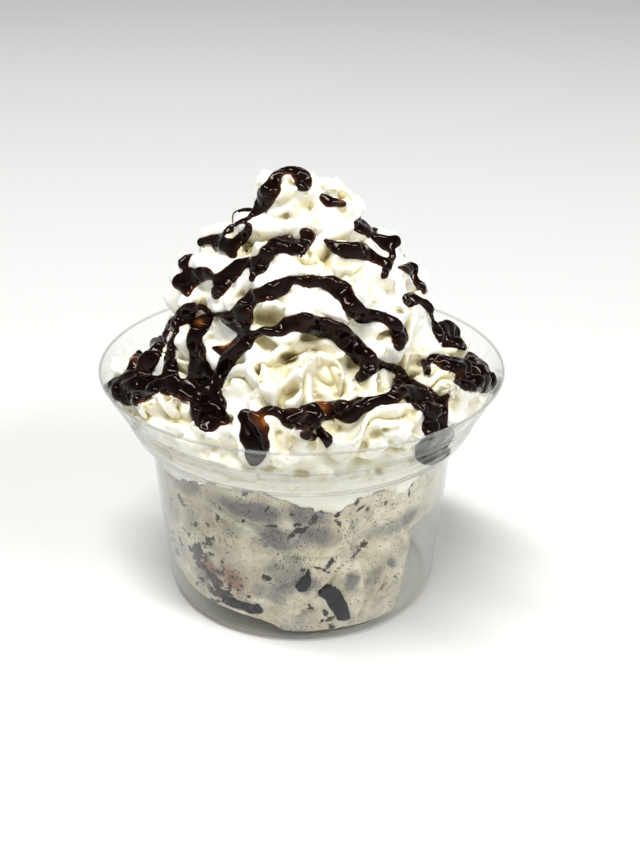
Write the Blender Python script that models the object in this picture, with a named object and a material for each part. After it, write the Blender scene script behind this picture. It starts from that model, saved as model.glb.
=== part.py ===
"""A clear flared dessert cup of cookies-and-cream ice cream under piped whipped cream and chocolate syrup.

Lengths are in metres. The origin is the middle of the cup's foot, at table height, with +Z up.
The front of the serving faces -Y, and azimuths are degrees from +X towards +Y.
"""

import math
import random

import bmesh
import bpy
import numpy as np
from mathutils import Matrix, Vector
from mathutils.bvhtree import BVHTree

MM = 0.001
SIDES = 48
GAP = 0.35 * MM

# Cup: thermoformed clear plastic
WALL = 0.6 * MM
RIM_RADIUS = 49.2 * MM
RIM_HEIGHT = 60.0 * MM
LIP_OUTLINE = [(0.9 * MM, 0.2 * MM), (0.4 * MM, 0.0), (0.0, 0.3 * MM), (0.0, 0.9 * MM)]
COLLAR_OUTLINE = [(48.4, 58.9), (44.9, 53.2), (43.5, 50.8), (42.6, 48.7), (41.3, 45.8), (38.3, 43.9)]
LOWER_WALL_TOP = (37.1 * MM, 41.6 * MM)
LOWER_WALL_FOOT = (33.8 * MM, 2.8 * MM)
HEEL = (32.9 * MM, 0.8 * MM)
FOOT_OUTER = 31.6 * MM
FOOT_INNER = 28.4 * MM
RECESS_RADIUS = 27.2 * MM
RECESS_HEIGHT = 0.8 * MM

# Ice cream: a scoop pressed into the cup, clear of the wall low on the left and on most of the right
GELATO_FLOOR = RECESS_HEIGHT + WALL + GAP
GELATO_CROWN_HEIGHT = 47.0 * MM
LOWER_LEVELS = 8
LEDGE_TOP = 45.9 * MM
LEVEL_STEP = 0.3 * MM
TOP_SHARES = (0.66, 0.33)
# The scoop's ragged top edge on the wall, as azimuth and height
GELATO_EDGE = [
    (-180, 38.0),
    (-152, 36.4),
    (-136, 39.4),
    (-120, 42.0),
    (-104, 43.4),
    (-92, 39.4),
    (-78, 36.3),
    (-69, 40.2),
    (-58, 40.6),
    (-50, 37.0),
    (-44, 39.6),
    (0, 41.0),
    (90, 42.0),
    (180, 38.0),
]
# Azimuth, height where the scoop leaves the wall, depth of the undercut at the floor, undercut power
GELATO_UNDERCUT = [
    (-180, 12.0, 10.0, 1.0),
    (-160, 8.6, 8.0, 1.0),
    (-140, 6.4, 7.0, 0.9),
    (-107, 5.4, 6.0, 0.9),
    (-97, 2.6, 3.0, 0.9),
    (-91, 0.5, 1.0, 1.0),
    (-52, 0.5, 1.0, 1.0),
    (-45, 5.0, 6.0, 0.7),
    (-41, 26.0, 12.0, 0.3),
    (-20, 26.5, 14.0, 0.35),
    (0, 31.0, 15.0, 0.4),
    (45, 26.0, 12.0, 0.8),
    (90, 12.0, 7.0, 1.0),
    (180, 12.0, 10.0, 1.0),
]

# Cookie chunks in the face of the scoop: azimuth, height, width, tall, thick, turn in degrees
COOKIE_CHUNKS = [
    (-76.5, 10.4 * MM, 5.6 * MM, 9.0 * MM, 4.0 * MM, 26.0),
    (-89.2, 17.7 * MM, 3.4 * MM, 5.4 * MM, 3.2 * MM, -10.0),
    (-114.0, 8.6 * MM, 8.0 * MM, 3.8 * MM, 3.6 * MM, -16.0),
]
CHUNK_BEVEL = 0.14
CHUNK_LEAST = -0.30
CHUNK_MOST = 0.12
POCKET_MOUTH = 1.5 * MM

# Whipped cream: tiers of short piped folds round a core, as
# count, first azimuth, ring radius, height, rope radius, span in degrees, rise over the span
CREAM_TIERS = [
    (10, -86.0, 31.5 * MM, 51.5 * MM, 12.2 * MM, 58.0, 2.0 * MM),
    (8, -64.0, 20.5 * MM, 67.5 * MM, 12.0 * MM, 70.0, 4.0 * MM),
    (6, -110.0, 15.6 * MM, 80.5 * MM, 11.0 * MM, 88.0, 4.0 * MM),
    (4, -60.0, 6.0 * MM, 92.5 * MM, 9.3 * MM, 110.0, 3.0 * MM),
]
# The mound's heart as radius and height
CREAM_CORE = [
    (0.0, 34.0),
    (40.0, 34.5),
    (43.0, 41.0),
    (43.0, 46.5),
    (37.0, 51.0),
    (27.0, 60.0),
    (20.0, 72.0),
    (14.0, 86.0),
    (6.0, 96.0),
    (0.0, 98.0),
]
ROPE_LOBES = 6
LOBE_DEPTH = 0.16
FOLD_RINGS = 7
FOLD_BOW = 1.2 * MM
FOLD_END = 0.16
FOLD_ROUNDNESS = 0.6
FOLD_TWIST = (0.4, 1.2)
SIZE_RANGE = (0.92, 1.06)
PLACE_RANGE = 5.0
LIFT_RANGE = 1.0 * MM
# The lowest tier leaves room inside the collar at the back left and back right
BACK_ROOM_AZIMUTHS = (42, 138)
BACK_ROOM_SPREAD = 34
BACK_ROOM_SHRINK = 0.32
BACK_ROOM_SHIFT = 3.0 * MM
MOULD_RISE = 60.0 * MM
SLIVER = 0.5 * MM
SLIVER_ROUNDS = 8
# Folds placed one by one: points of the path and the rope's radius there, in millimetres
CREAM_FOLDS = {
    "tip_curl": [(4, 2, 95, 8), (0, -2, 99, 7.5), (-5, -3, 102, 6), (-8, -3, 104.5, 4), (-6.5, -3, 107, 1.4)],
    "tip_flap": [(0.5, 1, 97, 5.5), (6.5, -1, 99.5, 5), (11.5, -2, 98, 4.2), (14, -2, 95, 2.4)],
    "front_frill": [(-3, -22, 66, 8.5), (-4, -30, 63, 10.5), (-5, -36, 57, 9.5), (-5, -37, 52, 6)],
    "front_frill_right": [(8, -21, 65, 7), (9, -28, 62, 8.5), (10, -33, 56, 6)],
    "low_fold": [(8, -36, 58, 4.5), (15, -37, 60.5, 6), (22, -34.5, 60.5, 6), (28, -30, 60, 4.5)],
    "left_lump": [(-22, -32, 57, 5), (-29, -29, 58.5, 7), (-34, -24, 57, 5)],
    "right_lump": [(26, -22, 62, 5.5), (32, -21, 60, 7.5), (38, -16, 57.5, 5.5)],
}
# How a rope's section leans from straight outwards
SECTION_LEAN = Vector((0, -0.05, 0.8))
PLACED_TWIST = 0.6
PLACED_START = 20
PLACED_ENDS = (0.75, 0.6)

# Chocolate syrup: strokes drawn as they look from EYE, given where each line of sight
# crosses the cup's middle plane (across, up) in millimetres, then laid on the cream
EYE = Vector((0.0, -287.0 * MM, 186.5 * MM))
SYRUP_RADIUS = 2.2 * MM
SYRUP_SIDES = 6
SYRUP_STEP = 3.2 * MM
SYRUP_ENDS = 0.6
SYRUP_SMOOTHING = 2
FRONT_STROKES = {
    "crest": [(1.3, 102.5), (0.6, 104.9), (-2.4, 106.0), (-5.2, 103.0), (-8.0, 98.5), (-12.1, 94.4)],
    "left_shoulder": [(-12.1, 94.4), (-16.8, 92.5), (-22.7, 89.0), (-26.4, 85.6), (-28.0, 82.6)],
    "brow": [(1.3, 91.4), (-4.0, 90.6), (-9.5, 86.0), (-15.6, 83.6), (-20.8, 76.6)],
    "right_brow": [(5.8, 89.4), (14.0, 86.4), (18.1, 82.2)],
    "right_edge": [(12.2, 94.0), (19.1, 90.0), (22.0, 87.6)],
    "right_hook": [(22.0, 84.4), (24.4, 82.0), (25.6, 78.4)],
    "right_low": [(23.4, 76.5), (27.7, 74.4), (29.8, 69.5)],
    "left_blob": [(-28.5, 78.6), (-22.8, 81.1)],
    "upper_arc": [(-28.0, 56.7), (-26.1, 67.3), (-16.8, 72.0), (-9.6, 78.6), (3.7, 80.4), (11.4, 77.2)],
    "upper_arc_end": [(11.4, 77.2), (16.3, 69.5), (24.2, 65.3), (24.6, 61.6)],
    "lower_arc": [(-22.0, 56.0), (-18.5, 64.4), (-4.2, 68.7), (6.2, 69.0), (14.1, 62.2), (19.7, 54.7)],
    "left_step": [(-31.5, 68.4), (-25.5, 72.0)],
    "left_drop": [(-33.0, 66.0), (-36.0, 56.2)],
    "left_fall": [(-26.2, 64.7), (-26.5, 58.1), (-23.5, 46.4)],
    "left_pool": [(-42.6, 50.2), (-36.4, 50.4), (-29.4, 50.0), (-22.0, 45.6)],
    "front_drip": [(-16.0, 44.8), (-12.6, 43.6), (-11.5, 37.4)],
    "front_band": [(-8.0, 45.4), (1.7, 45.9), (10.7, 47.0), (22.3, 50.0), (25.2, 52.5)],
    "right_fall": [(19.7, 54.7), (26.7, 50.9), (32.4, 47.2), (33.6, 42.4)],
    "right_pool": [(34.3, 66.0), (37.4, 61.5)],
    "right_spot": [(33.3, 58.2), (39.6, 55.6)],
}
# Strokes on the far side, drawn the same way from the opposite side of the cup
BACK_STROKES = {
    "back_top": [(-14.0, 92.0), (-2.0, 96.0), (10.0, 91.0)],
    "back_upper": [(-24.0, 80.0), (-12.0, 85.0), (2.0, 82.0), (14.0, 84.0), (22.0, 79.0)],
    "back_middle": [(-27.0, 70.0), (-10.0, 75.0), (6.0, 71.0), (24.0, 72.0)],
    "back_lower": [(-24.0, 60.0), (-8.0, 64.0), (10.0, 60.0), (22.0, 62.0)],
    "back_pool": [(-14.0, 49.0), (2.0, 51.0), (14.0, 48.5)],
}


def clear_scene():
    """Starts from an empty scene."""
    for old in list(bpy.data.objects):
        bpy.data.objects.remove(old, do_unlink=True)


def finish_material(name, color, roughness, metallic=0.0, clear=0.0):
    """A plain surface finish; clear is the share of light that passes through."""
    material = bpy.data.materials.new(name)
    material.use_nodes = True
    shader = material.node_tree.nodes["Principled BSDF"]
    shader.inputs["Base Color"].default_value = (*color, 1.0)
    shader.inputs["Roughness"].default_value = roughness
    shader.inputs["Metallic"].default_value = metallic
    shader.inputs["Transmission Weight"].default_value = clear
    material.diffuse_color = (*color, 1.0 - 0.7 * clear)
    return material


def add_object(name, verts, faces):
    """An object of the given points and faces at the origin."""
    mesh = bpy.data.meshes.new(name)
    mesh.from_pydata([tuple(v) for v in verts], [], faces)
    mesh.update()
    obj = bpy.data.objects.new(name, mesh)
    bpy.context.scene.collection.objects.link(obj)
    return obj


def polar(radius, azimuth, height):
    """A point from its distance to the cup's axis, azimuth in degrees and height."""
    angle = math.radians(azimuth)
    return Vector((radius * math.cos(angle), radius * math.sin(angle), height))


def smooth_path(points, count):
    """Evenly numbered points on a Catmull-Rom curve through the given ones."""
    given = np.array(points, dtype=float)
    padded = np.vstack([2 * given[0] - given[1], given, 2 * given[-1] - given[-2]])
    path = []
    for place in np.linspace(0, len(given) - 1, count):
        first = min(int(place), len(given) - 2)
        t = place - first
        a, b, c, d = padded[first : first + 4]
        path.append(
            0.5 * (2 * b + (c - a) * t + (2 * a - 5 * b + 4 * c - d) * t**2 + (3 * b - a - 3 * c + d) * t**3)
        )
    return np.array(path)


# Cup


def outer_outline():
    """The outer face of the wall as (radius, height), from under the lip to the middle of the foot."""
    collar = [(r * MM, z * MM) for r, z in COLLAR_OUTLINE]
    foot = [(FOOT_OUTER, 0.0), (FOOT_INNER, 0.0), (RECESS_RADIUS, RECESS_HEIGHT), (0.0, RECESS_HEIGHT)]
    return collar + [LOWER_WALL_TOP, LOWER_WALL_FOOT, HEEL] + foot


def inner_outline():
    """The outer outline moved in by the wall's thickness at every corner."""
    points = np.array(outer_outline())
    runs = np.diff(points, axis=0)
    runs /= np.linalg.norm(runs, axis=1)[:, None]
    inward = np.column_stack([runs[:, 1], -runs[:, 0]])
    before = np.vstack([inward[:1], inward])
    after = np.vstack([inward, inward[-1:]])
    shift = (before + after) / (1 + np.sum(before * after, axis=1))[:, None]
    moved = points + WALL * shift
    moved[-1, 0] = 0.0
    return [tuple(point) for point in moved]


def inner_radius(height):
    """The inner face's distance to the axis at a height above the heel."""
    wall = [point for point in inner_outline() if point[0] > FOOT_OUTER]
    wall.sort(key=lambda point: point[1])
    radii = [point[0] for point in wall]
    heights = [point[1] for point in wall]
    if height > heights[-1]:
        slope = (radii[-1] - radii[-2]) / (heights[-1] - heights[-2])
        return radii[-1] + slope * (height - heights[-1])
    return float(np.interp(height, heights, radii))


def make_cup():
    """The turned shell: inner face up, round the lip, and down the outer face to the foot."""
    lip = [(RIM_RADIUS - back, RIM_HEIGHT - drop) for back, drop in LIP_OUTLINE]
    outline = inner_outline()[::-1] + lip + outer_outline()
    cup = add_object("cup", [(r, 0.0, z) for r, z in outline], [])
    cup.data.edges.add(len(outline) - 1)
    for number, edge in enumerate(cup.data.edges):
        edge.vertices = (number, number + 1)
    turn = cup.modifiers.new("turn", "SCREW")
    turn.steps = turn.render_steps = SIDES
    turn.use_merge_vertices = True
    turn.merge_threshold = 0.00001
    turn.use_smooth_shade = True
    cup.data.materials.append(finish_material("clear_plastic", (0.95, 0.96, 0.96), 0.05, clear=1.0))
    return cup


# Ice cream and its cookie chunks


def undercut(azimuth, height):
    """How far the scoop stands back from the wall."""
    rows = np.array(GELATO_UNDERCUT, dtype=float)
    leave, depth, power = (float(np.interp(azimuth, rows[:, 0], rows[:, i])) for i in (1, 2, 3))
    share = (leave * MM - height) / (leave * MM)
    return 0.0 if share <= 0 else depth * MM * min(share, 1.0) ** power


def gelato_edge_height(azimuth):
    """The height of the scoop's top edge at the wall."""
    return float(np.interp(azimuth, *zip(*GELATO_EDGE))) * MM


def gelato_top(azimuth, share):
    """The height of the scoop's top at a share of its radius."""
    return GELATO_CROWN_HEIGHT + (gelato_edge_height(azimuth) - GELATO_CROWN_HEIGHT) * share**2


def ring_faces(rings, sides):
    """Quads between rings of equal count, numbered ring by ring."""
    faces = []
    for ring in range(rings - 1):
        for side in range(sides):
            after = (side + 1) % sides
            low, high = ring * sides, (ring + 1) * sides
            faces.append((low + side, low + after, high + after, high + side))
    return faces


def azimuths():
    """The cup's facet corners, in degrees."""
    return [-180 + 360 * side / SIDES for side in range(SIDES)]


def collar_heights():
    """The heights of the corners of the wall above the lower wall, lowest first."""
    return sorted([LOWER_WALL_TOP[1]] + [height * MM for _, height in COLLAR_OUTLINE])


def closed_rings(name, verts, sides, low, high):
    """A closed object from rings of points, with a middle point below the first ring and above the last."""
    rings = len(verts) // sides
    faces = ring_faces(rings, sides)
    verts = list(verts) + [Vector(low), Vector(high)]
    bottom, top, last = rings * sides, rings * sides + 1, (rings - 1) * sides
    for side in range(sides):
        after = (side + 1) % sides
        faces.append((bottom, after, side))
        faces.append((top, last + side, last + after))
    return add_object(name, verts, faces)


def gelato_levels(azimuth):
    """Ring heights up the scoop's side, with one at each corner of the wall that it reaches."""
    top = gelato_edge_height(azimuth)
    lower = list(np.linspace(GELATO_FLOOR, LOWER_WALL_TOP[1], LOWER_LEVELS))
    corners = [height for height in collar_heights() if LOWER_WALL_TOP[1] < height < LEDGE_TOP]
    heights = lower + corners + [top]
    return [min(height, top - (len(heights) - 1 - i) * LEVEL_STEP) for i, height in enumerate(heights)]


def make_gelato():
    """The scoop as rings up the wall, then over the top to the middle."""
    columns = []
    for azimuth in azimuths():
        column = []
        for level, height in enumerate(gelato_levels(azimuth)):
            radius = inner_radius(height) - GAP - undercut(azimuth, height)
            column.append(polar(min(radius, FOOT_INNER) if level == 0 else radius, azimuth, height))
        edge = inner_radius(gelato_edge_height(azimuth)) - GAP
        for share in TOP_SHARES:
            column.append(polar(edge * share, azimuth, gelato_top(azimuth, share)))
        columns.append(column)
    verts = [column[ring] for ring in range(len(columns[0])) for column in columns]
    gelato = closed_rings("gelato", verts, SIDES, (0, 0, GELATO_FLOOR), (0, 0, GELATO_CROWN_HEIGHT))
    gelato.data.materials.append(finish_material("ice_cream", (0.80, 0.76, 0.66), 0.5))
    return gelato


def chunk_mesh(name, row, grow):
    """A broken cookie piece: a block with uneven corners. A grown one is its pocket, open outwards."""
    azimuth, height, width, tall, thick, turn = row
    face_radius = inner_radius(height) - GAP - undercut(azimuth, height)
    draw = random.Random(int(azimuth))
    bm = bmesh.new()
    bmesh.ops.create_cube(bm, size=1.0)
    for vert in bm.verts:
        vert.co.x *= 1 + draw.uniform(CHUNK_LEAST, CHUNK_MOST)
        vert.co.z *= 1 + draw.uniform(CHUNK_LEAST, CHUNK_MOST)
    bmesh.ops.bevel(bm, geom=bm.edges[:], offset=CHUNK_BEVEL, segments=1, affect="EDGES")
    for vert in bm.verts:
        vert.co.x *= width + 2 * grow
        vert.co.y *= thick + 2 * grow
        vert.co.z *= tall + 2 * grow
        if grow and vert.co.y < 0:
            vert.co.y -= POCKET_MOUTH
    bm.transform(Matrix.Rotation(math.radians(turn), 4, "Y"))
    bm.transform(Matrix.Rotation(math.radians(azimuth + 90), 4, "Z"))
    bm.transform(Matrix.Translation(polar(face_radius - thick / 2, azimuth, height)))
    mesh = bpy.data.meshes.new(name)
    bm.to_mesh(mesh)
    bm.free()
    obj = bpy.data.objects.new(name, mesh)
    bpy.context.scene.collection.objects.link(obj)
    return obj


def make_chunks(gelato):
    """Each chunk sits in a pocket that is a little larger than itself."""
    cookie = finish_material("cookie", (0.05, 0.04, 0.04), 0.8)
    for number, row in enumerate(COOKIE_CHUNKS, start=1):
        chunk = chunk_mesh(f"cookie_chunk_{number}", row, 0.0)
        chunk.data.materials.append(cookie)
        pocket = chunk_mesh(f"pocket_{number}", row, GAP)
        apply_boolean(gelato, pocket, "DIFFERENCE")


# Booleans


def apply_modifiers(obj):
    """Replaces the object's mesh by what its modifiers make of it."""
    graph = bpy.context.evaluated_depsgraph_get()
    mesh = bpy.data.meshes.new_from_object(obj.evaluated_get(graph))
    obj.modifiers.clear()
    obj.data = mesh


def apply_boolean(obj, cutter, operation, solver="EXACT"):
    """Applies one Boolean and removes the cutter."""
    step = obj.modifiers.new(operation.lower(), "BOOLEAN")
    step.object = cutter
    step.operation = operation
    step.solver = solver
    apply_modifiers(obj)
    bpy.data.objects.remove(cutter, do_unlink=True)


def join_collection(obj, collection):
    """Joins all of a collection's solids to the object, then removes them."""
    step = obj.modifiers.new("join", "BOOLEAN")
    step.operand_type = "COLLECTION"
    step.collection = collection
    step.operation = "UNION"
    step.solver = "MANIFOLD"
    apply_modifiers(obj)
    for part in list(collection.objects):
        bpy.data.objects.remove(part, do_unlink=True)
    bpy.data.collections.remove(collection)


def islands(bm):
    """The mesh's connected pieces, as lists of faces."""
    left = set(bm.faces)
    found = []
    while left:
        todo = [left.pop()]
        piece = []
        while todo:
            face = todo.pop()
            piece.append(face)
            near = {other for vert in face.verts for other in vert.link_faces} & left
            left -= near
            todo += near
        found.append(piece)
    return found


def signed_volume(faces):
    """The volume inside a closed piece, negative for a hollow."""
    total = 0.0
    for face in faces:
        corners = [vert.co for vert in face.verts]
        for second, third in zip(corners[1:], corners[2:]):
            total += corners[0].dot(second.cross(third)) / 6
    return total


def close_short_edges(bm):
    """Draws the ends of very short edges together, a few at a time, where the surface stays closed."""
    for _ in range(SLIVER_ROUNDS):
        pairs = {}
        used = set()
        for edge in sorted(bm.edges, key=lambda edge: edge.calc_length()):
            if edge.calc_length() > SLIVER:
                break
            first, second = edge.verts
            near_first = {link.other_vert(first) for link in first.link_edges}
            near_second = {link.other_vert(second) for link in second.link_edges}
            around = near_first | near_second
            shared = near_first & near_second
            simple = len(shared) == 2 and all(len(vert.link_edges) > 3 for vert in shared)
            if simple and not around & used:
                pairs[first] = second
                used |= around
        bmesh.ops.weld_verts(bm, targetmap=pairs)


def mend_edges(bm):
    """Cuts out the points where an edge has more or fewer than two faces, and fills the holes."""
    for _ in range(SLIVER_ROUNDS):
        faulty = [edge for edge in bm.edges if len(edge.link_faces) != 2]
        if not faulty:
            break
        corners = {vert for edge in faulty for vert in edge.verts}
        bmesh.ops.delete(bm, geom=list(corners), context="VERTS")
        open_edges = [edge for edge in bm.edges if len(edge.link_faces) == 1]
        filled = bmesh.ops.holes_fill(bm, edges=open_edges, sides=0)["faces"]
        bmesh.ops.triangulate(bm, faces=filled)


def keep_main_body(obj):
    """Closes up slivers, fills hollows that joining sealed and drops loose scraps."""
    bm = bmesh.new()
    bm.from_mesh(obj.data)
    bmesh.ops.triangulate(bm, faces=bm.faces[:])
    close_short_edges(bm)
    mend_edges(bm)
    pieces = sorted(islands(bm), key=signed_volume)
    loose = [face for piece in pieces[:-1] for face in piece]
    bmesh.ops.delete(bm, geom=loose, context="FACES")
    bm.to_mesh(obj.data)
    bm.free()


# Whipped cream


def star_rope(collection, name, path, radii, lobes, depth, twist, start):
    """A closed piped rope: a lobed section carried along a path, with rounded ends."""
    sides = 2 * lobes
    verts = []
    count = len(path)
    for number in range(count):
        before, after = path[max(number - 1, 0)], path[min(number + 1, count - 1)]
        along = Vector(after - before).normalized()
        here = Vector(path[number])
        outward = Vector((here.x, here.y, 0.0)).normalized() + SECTION_LEAN
        outward = (outward - along * outward.dot(along)).normalized()
        aside = along.cross(outward)
        for side in range(sides):
            angle = 2 * math.pi * side / sides + math.radians(start) + twist * number / count
            reach = radii[number] * (1 + (depth if side % 2 == 0 else -depth))
            verts.append(here + reach * (math.cos(angle) * outward + math.sin(angle) * aside))
    rope = closed_rings(name, verts, sides, path[0], path[-1])
    bpy.context.scene.collection.objects.unlink(rope)
    collection.objects.link(rope)
    return rope


def back_room(azimuth):
    """How fully a direction lies in the free room at the back left and back right, from 0 to 1."""
    away = min(abs((azimuth - side + 180) % 360 - 180) for side in BACK_ROOM_AZIMUTHS)
    return math.exp(-((away / BACK_ROOM_SPREAD) ** 2))


def pipe_tiers(collection):
    """The rings of short folds, each overlapping the next, with uneven sizes."""
    draw = random.Random(7)
    for tier, (count, first, ring, height, rope, span, rise) in enumerate(CREAM_TIERS):
        for number in range(count):
            middle = first + 360 * number / count + draw.uniform(-PLACE_RANGE, PLACE_RANGE)
            room = back_room(middle) if tier == 0 else 0.0
            size = rope * draw.uniform(*SIZE_RANGE) * (1 - BACK_ROOM_SHRINK * room)
            lift = draw.uniform(-LIFT_RANGE, LIFT_RANGE)
            path, radii = [], []
            for share in np.linspace(0, 1, FOLD_RINGS):
                out = ring + FOLD_BOW * math.sin(math.pi * share) - BACK_ROOM_SHIFT * room
                azimuth = middle + span * (share - 0.5)
                path.append(np.array(polar(out, azimuth, height + lift + rise * (share - 0.5))))
                swell = math.sin(math.pi * (FOLD_END + (1 - 2 * FOLD_END) * share))
                radii.append(size * swell**FOLD_ROUNDNESS)
            twist, start = draw.uniform(*FOLD_TWIST), draw.uniform(0, 360 / ROPE_LOBES)
            star_rope(collection, "fold", path, radii, ROPE_LOBES, LOBE_DEPTH, twist, start)


def pipe_folds(collection):
    """The folds that are placed one by one."""
    for name, points in CREAM_FOLDS.items():
        course = smooth_path(points, 2 * len(points)) * MM
        radii = [float(radius) for radius in course[:, 3]]
        radii[0] *= PLACED_ENDS[0]
        radii[-1] *= PLACED_ENDS[1]
        star_rope(collection, name, course[:, :3], radii, ROPE_LOBES, LOBE_DEPTH, PLACED_TWIST, PLACED_START)


def cream_mould():
    """The space that the cream may fill: above the ice cream and inside the wall, open upwards."""
    heights = collar_heights() + [RIM_HEIGHT, RIM_HEIGHT + MOULD_RISE / 2, RIM_HEIGHT + MOULD_RISE]
    columns = []
    for azimuth in azimuths():
        edge = gelato_edge_height(azimuth)
        radius = inner_radius(edge) - GAP
        column = [
            polar(radius * share, azimuth, gelato_top(azimuth, share) + GAP) for share in reversed(TOP_SHARES)
        ]
        column.append(polar(radius, azimuth, edge + GAP))
        for step, height in enumerate(heights, start=1):
            level = max(height, edge + GAP + step * LEVEL_STEP)
            column.append(polar(inner_radius(level) - GAP, azimuth, level))
        columns.append(column)
    verts = [column[ring] for ring in range(len(columns[0])) for column in columns]
    middle = GELATO_CROWN_HEIGHT + GAP
    return closed_rings("mould", verts, SIDES, (0, 0, middle), (0, 0, heights[-1]))


def cream_core():
    """The plain heart of the mound, which the folds stand on."""
    sides = SIDES // 2
    rings = CREAM_CORE[1:-1]
    around = azimuths()[::2]
    verts = [polar(radius * MM, azimuth, height * MM) for radius, height in rings for azimuth in around]
    low, high = CREAM_CORE[0][1] * MM, CREAM_CORE[-1][1] * MM
    return closed_rings("whipped_cream", verts, sides, (0, 0, low), (0, 0, high))


# Chocolate syrup


def lay_stroke(tree, points, turn):
    """The stroke's line on the cream: each point follows its line of sight from EYE to the surface."""
    flip = -1.0 if turn else 1.0
    length = sum(math.dist(a, b) for a, b in zip(points, points[1:])) * MM
    count = max(3, int(length / SYRUP_STEP))
    eye = Vector((EYE.x, EYE.y * flip, EYE.z))
    line = []
    for across, up in smooth_path(points, count):
        target = Vector((across * MM * flip, 0.0, up * MM))
        hit = tree.ray_cast(eye, (target - eye).normalized())[0]
        if hit:
            line.append(np.array(hit))
    line = np.array(line)
    for _ in range(SYRUP_SMOOTHING):
        line[1:-1] = 0.5 * line[1:-1] + 0.25 * (line[:-2] + line[2:])
    return line


def lay_syrup(collection, cream):
    """Every stroke as a round strand half sunk in the cream."""
    graph = bpy.context.evaluated_depsgraph_get()
    tree = BVHTree.FromObject(cream, graph)
    for strokes, turn in ((FRONT_STROKES, False), (BACK_STROKES, True)):
        for name, points in strokes.items():
            line = lay_stroke(tree, points, turn)
            if len(line) < 3:
                continue
            radii = [SYRUP_RADIUS] * len(line)
            radii[0] = radii[-1] = SYRUP_ENDS * SYRUP_RADIUS
            star_rope(collection, name, line, radii, SYRUP_SIDES // 2, 0.0, 0.0, 0)


def make_cream():
    """Core and folds as one body, trimmed to the cup, with the syrup strands joined on."""
    cream = cream_core()
    folds = bpy.data.collections.new("folds")
    bpy.context.scene.collection.children.link(folds)
    pipe_tiers(folds)
    pipe_folds(folds)
    join_collection(cream, folds)
    strands = bpy.data.collections.new("strands")
    bpy.context.scene.collection.children.link(strands)
    lay_syrup(strands, cream)
    join_collection(cream, strands)
    apply_boolean(cream, cream_mould(), "INTERSECT", "MANIFOLD")
    keep_main_body(cream)
    cream.data.materials.clear()
    cream.data.materials.append(finish_material("whipped_cream", (0.93, 0.91, 0.84), 0.5))
    return cream


def main():
    clear_scene()
    make_cup()
    gelato = make_gelato()
    make_chunks(gelato)
    make_cream()


main()
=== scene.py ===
import math
import random

import bpy
import numpy as np
from mathutils import Matrix, Vector, noise
from mathutils.bvhtree import BVHTree
from mathutils.kdtree import KDTree


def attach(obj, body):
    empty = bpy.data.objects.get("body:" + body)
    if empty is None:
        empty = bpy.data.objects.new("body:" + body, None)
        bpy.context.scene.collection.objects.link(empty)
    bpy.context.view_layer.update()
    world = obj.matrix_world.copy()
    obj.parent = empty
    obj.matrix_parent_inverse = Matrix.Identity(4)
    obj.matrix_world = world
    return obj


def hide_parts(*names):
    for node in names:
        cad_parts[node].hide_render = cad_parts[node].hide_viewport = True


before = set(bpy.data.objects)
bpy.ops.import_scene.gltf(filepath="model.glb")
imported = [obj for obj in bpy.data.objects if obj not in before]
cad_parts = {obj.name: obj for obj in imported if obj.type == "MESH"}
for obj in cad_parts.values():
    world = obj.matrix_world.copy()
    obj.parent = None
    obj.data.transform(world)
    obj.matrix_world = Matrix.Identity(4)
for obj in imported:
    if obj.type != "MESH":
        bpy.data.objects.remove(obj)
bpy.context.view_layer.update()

# The viewpoint: in front of the cup and above it, looking down by a little under 27 degrees.
MM = 0.001
EYE = Vector((0.0, -286.9 * MM, 186.5 * MM))
LOOK_DOWN = math.radians(26.85)
LOOK_RIGHT = math.radians(0.9)
TILT = math.radians(0.46)
LENS = 54.1

camera_data = bpy.data.cameras.new("camera")
camera_data.lens = LENS
camera_data.sensor_width = 36.0
camera_data.clip_start = 10 * MM
camera = bpy.data.objects.new("camera", camera_data)
bpy.context.scene.collection.objects.link(camera)
turn = Matrix.Rotation(-LOOK_RIGHT, 4, "Z") @ Matrix.Rotation(math.pi / 2 - LOOK_DOWN, 4, "X")
camera.matrix_world = Matrix.Translation(EYE) @ turn @ Matrix.Rotation(TILT, 4, "Z")
bpy.context.scene.camera = camera


# The cup is one sheet of clear plastic, drawn down over a mould: a straight lower wall, a ledge, a flared
# collar with fine stacking rings and short raised ribs, and a rolled lip. The foot is pushed up inside.
WALL = 0.55 * MM
SEGMENTS = 384
# The outer outline, from under the foot to the lip: distance to the axis and height
CUP_OUTLINE = [
    (27.0, 1.4), (27.9, 1.0), (28.6, 0.63), (30.0, 0.56), (31.4, 0.57), (32.5, 0.8), (33.3, 1.6),
    (33.75, 2.8), (34.6, 12.5), (35.5, 22.5), (36.3, 32.0), (36.95, 40.4), (37.25, 42.0), (37.9, 43.3),
    (39.4, 44.4), (41.0, 45.2), (41.5, 46.0), (41.55, 46.7), (42.1, 47.9), (42.75, 48.5), (42.85, 49.0),
    (42.7, 49.5), (43.1, 50.3), (43.6, 50.7), (43.7, 51.2), (43.6, 51.6), (44.2, 52.5), (45.0, 53.0),
    (45.2, 53.5), (45.3, 54.1), (45.8, 55.0), (46.3, 55.8), (46.8, 56.6), (47.3, 57.4), (47.8, 58.2),
    (48.2, 58.9), (48.45, 59.4), (48.75, 59.75), (49.05, 59.7), (49.2, 59.4), (49.1, 59.1),
]
# The ribs: the band of height, then pitch, width and groups in degrees round the collar
RIB_BAND = (54.6 * MM, 57.8 * MM)
RIB_PITCH = 6.0
RIB_WIDTH = 1.6
RIB_GROUPS = [(100, 172), (8, 62), (196, 236), (292, 334)]
RIB_HEIGHT = 0.28 * MM
SHARP_TURN = math.radians(55)


def only(obj):
    """Selects this object alone."""
    bpy.ops.object.select_all(action="DESELECT")
    obj.select_set(True)
    bpy.context.view_layer.objects.active = obj


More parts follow.
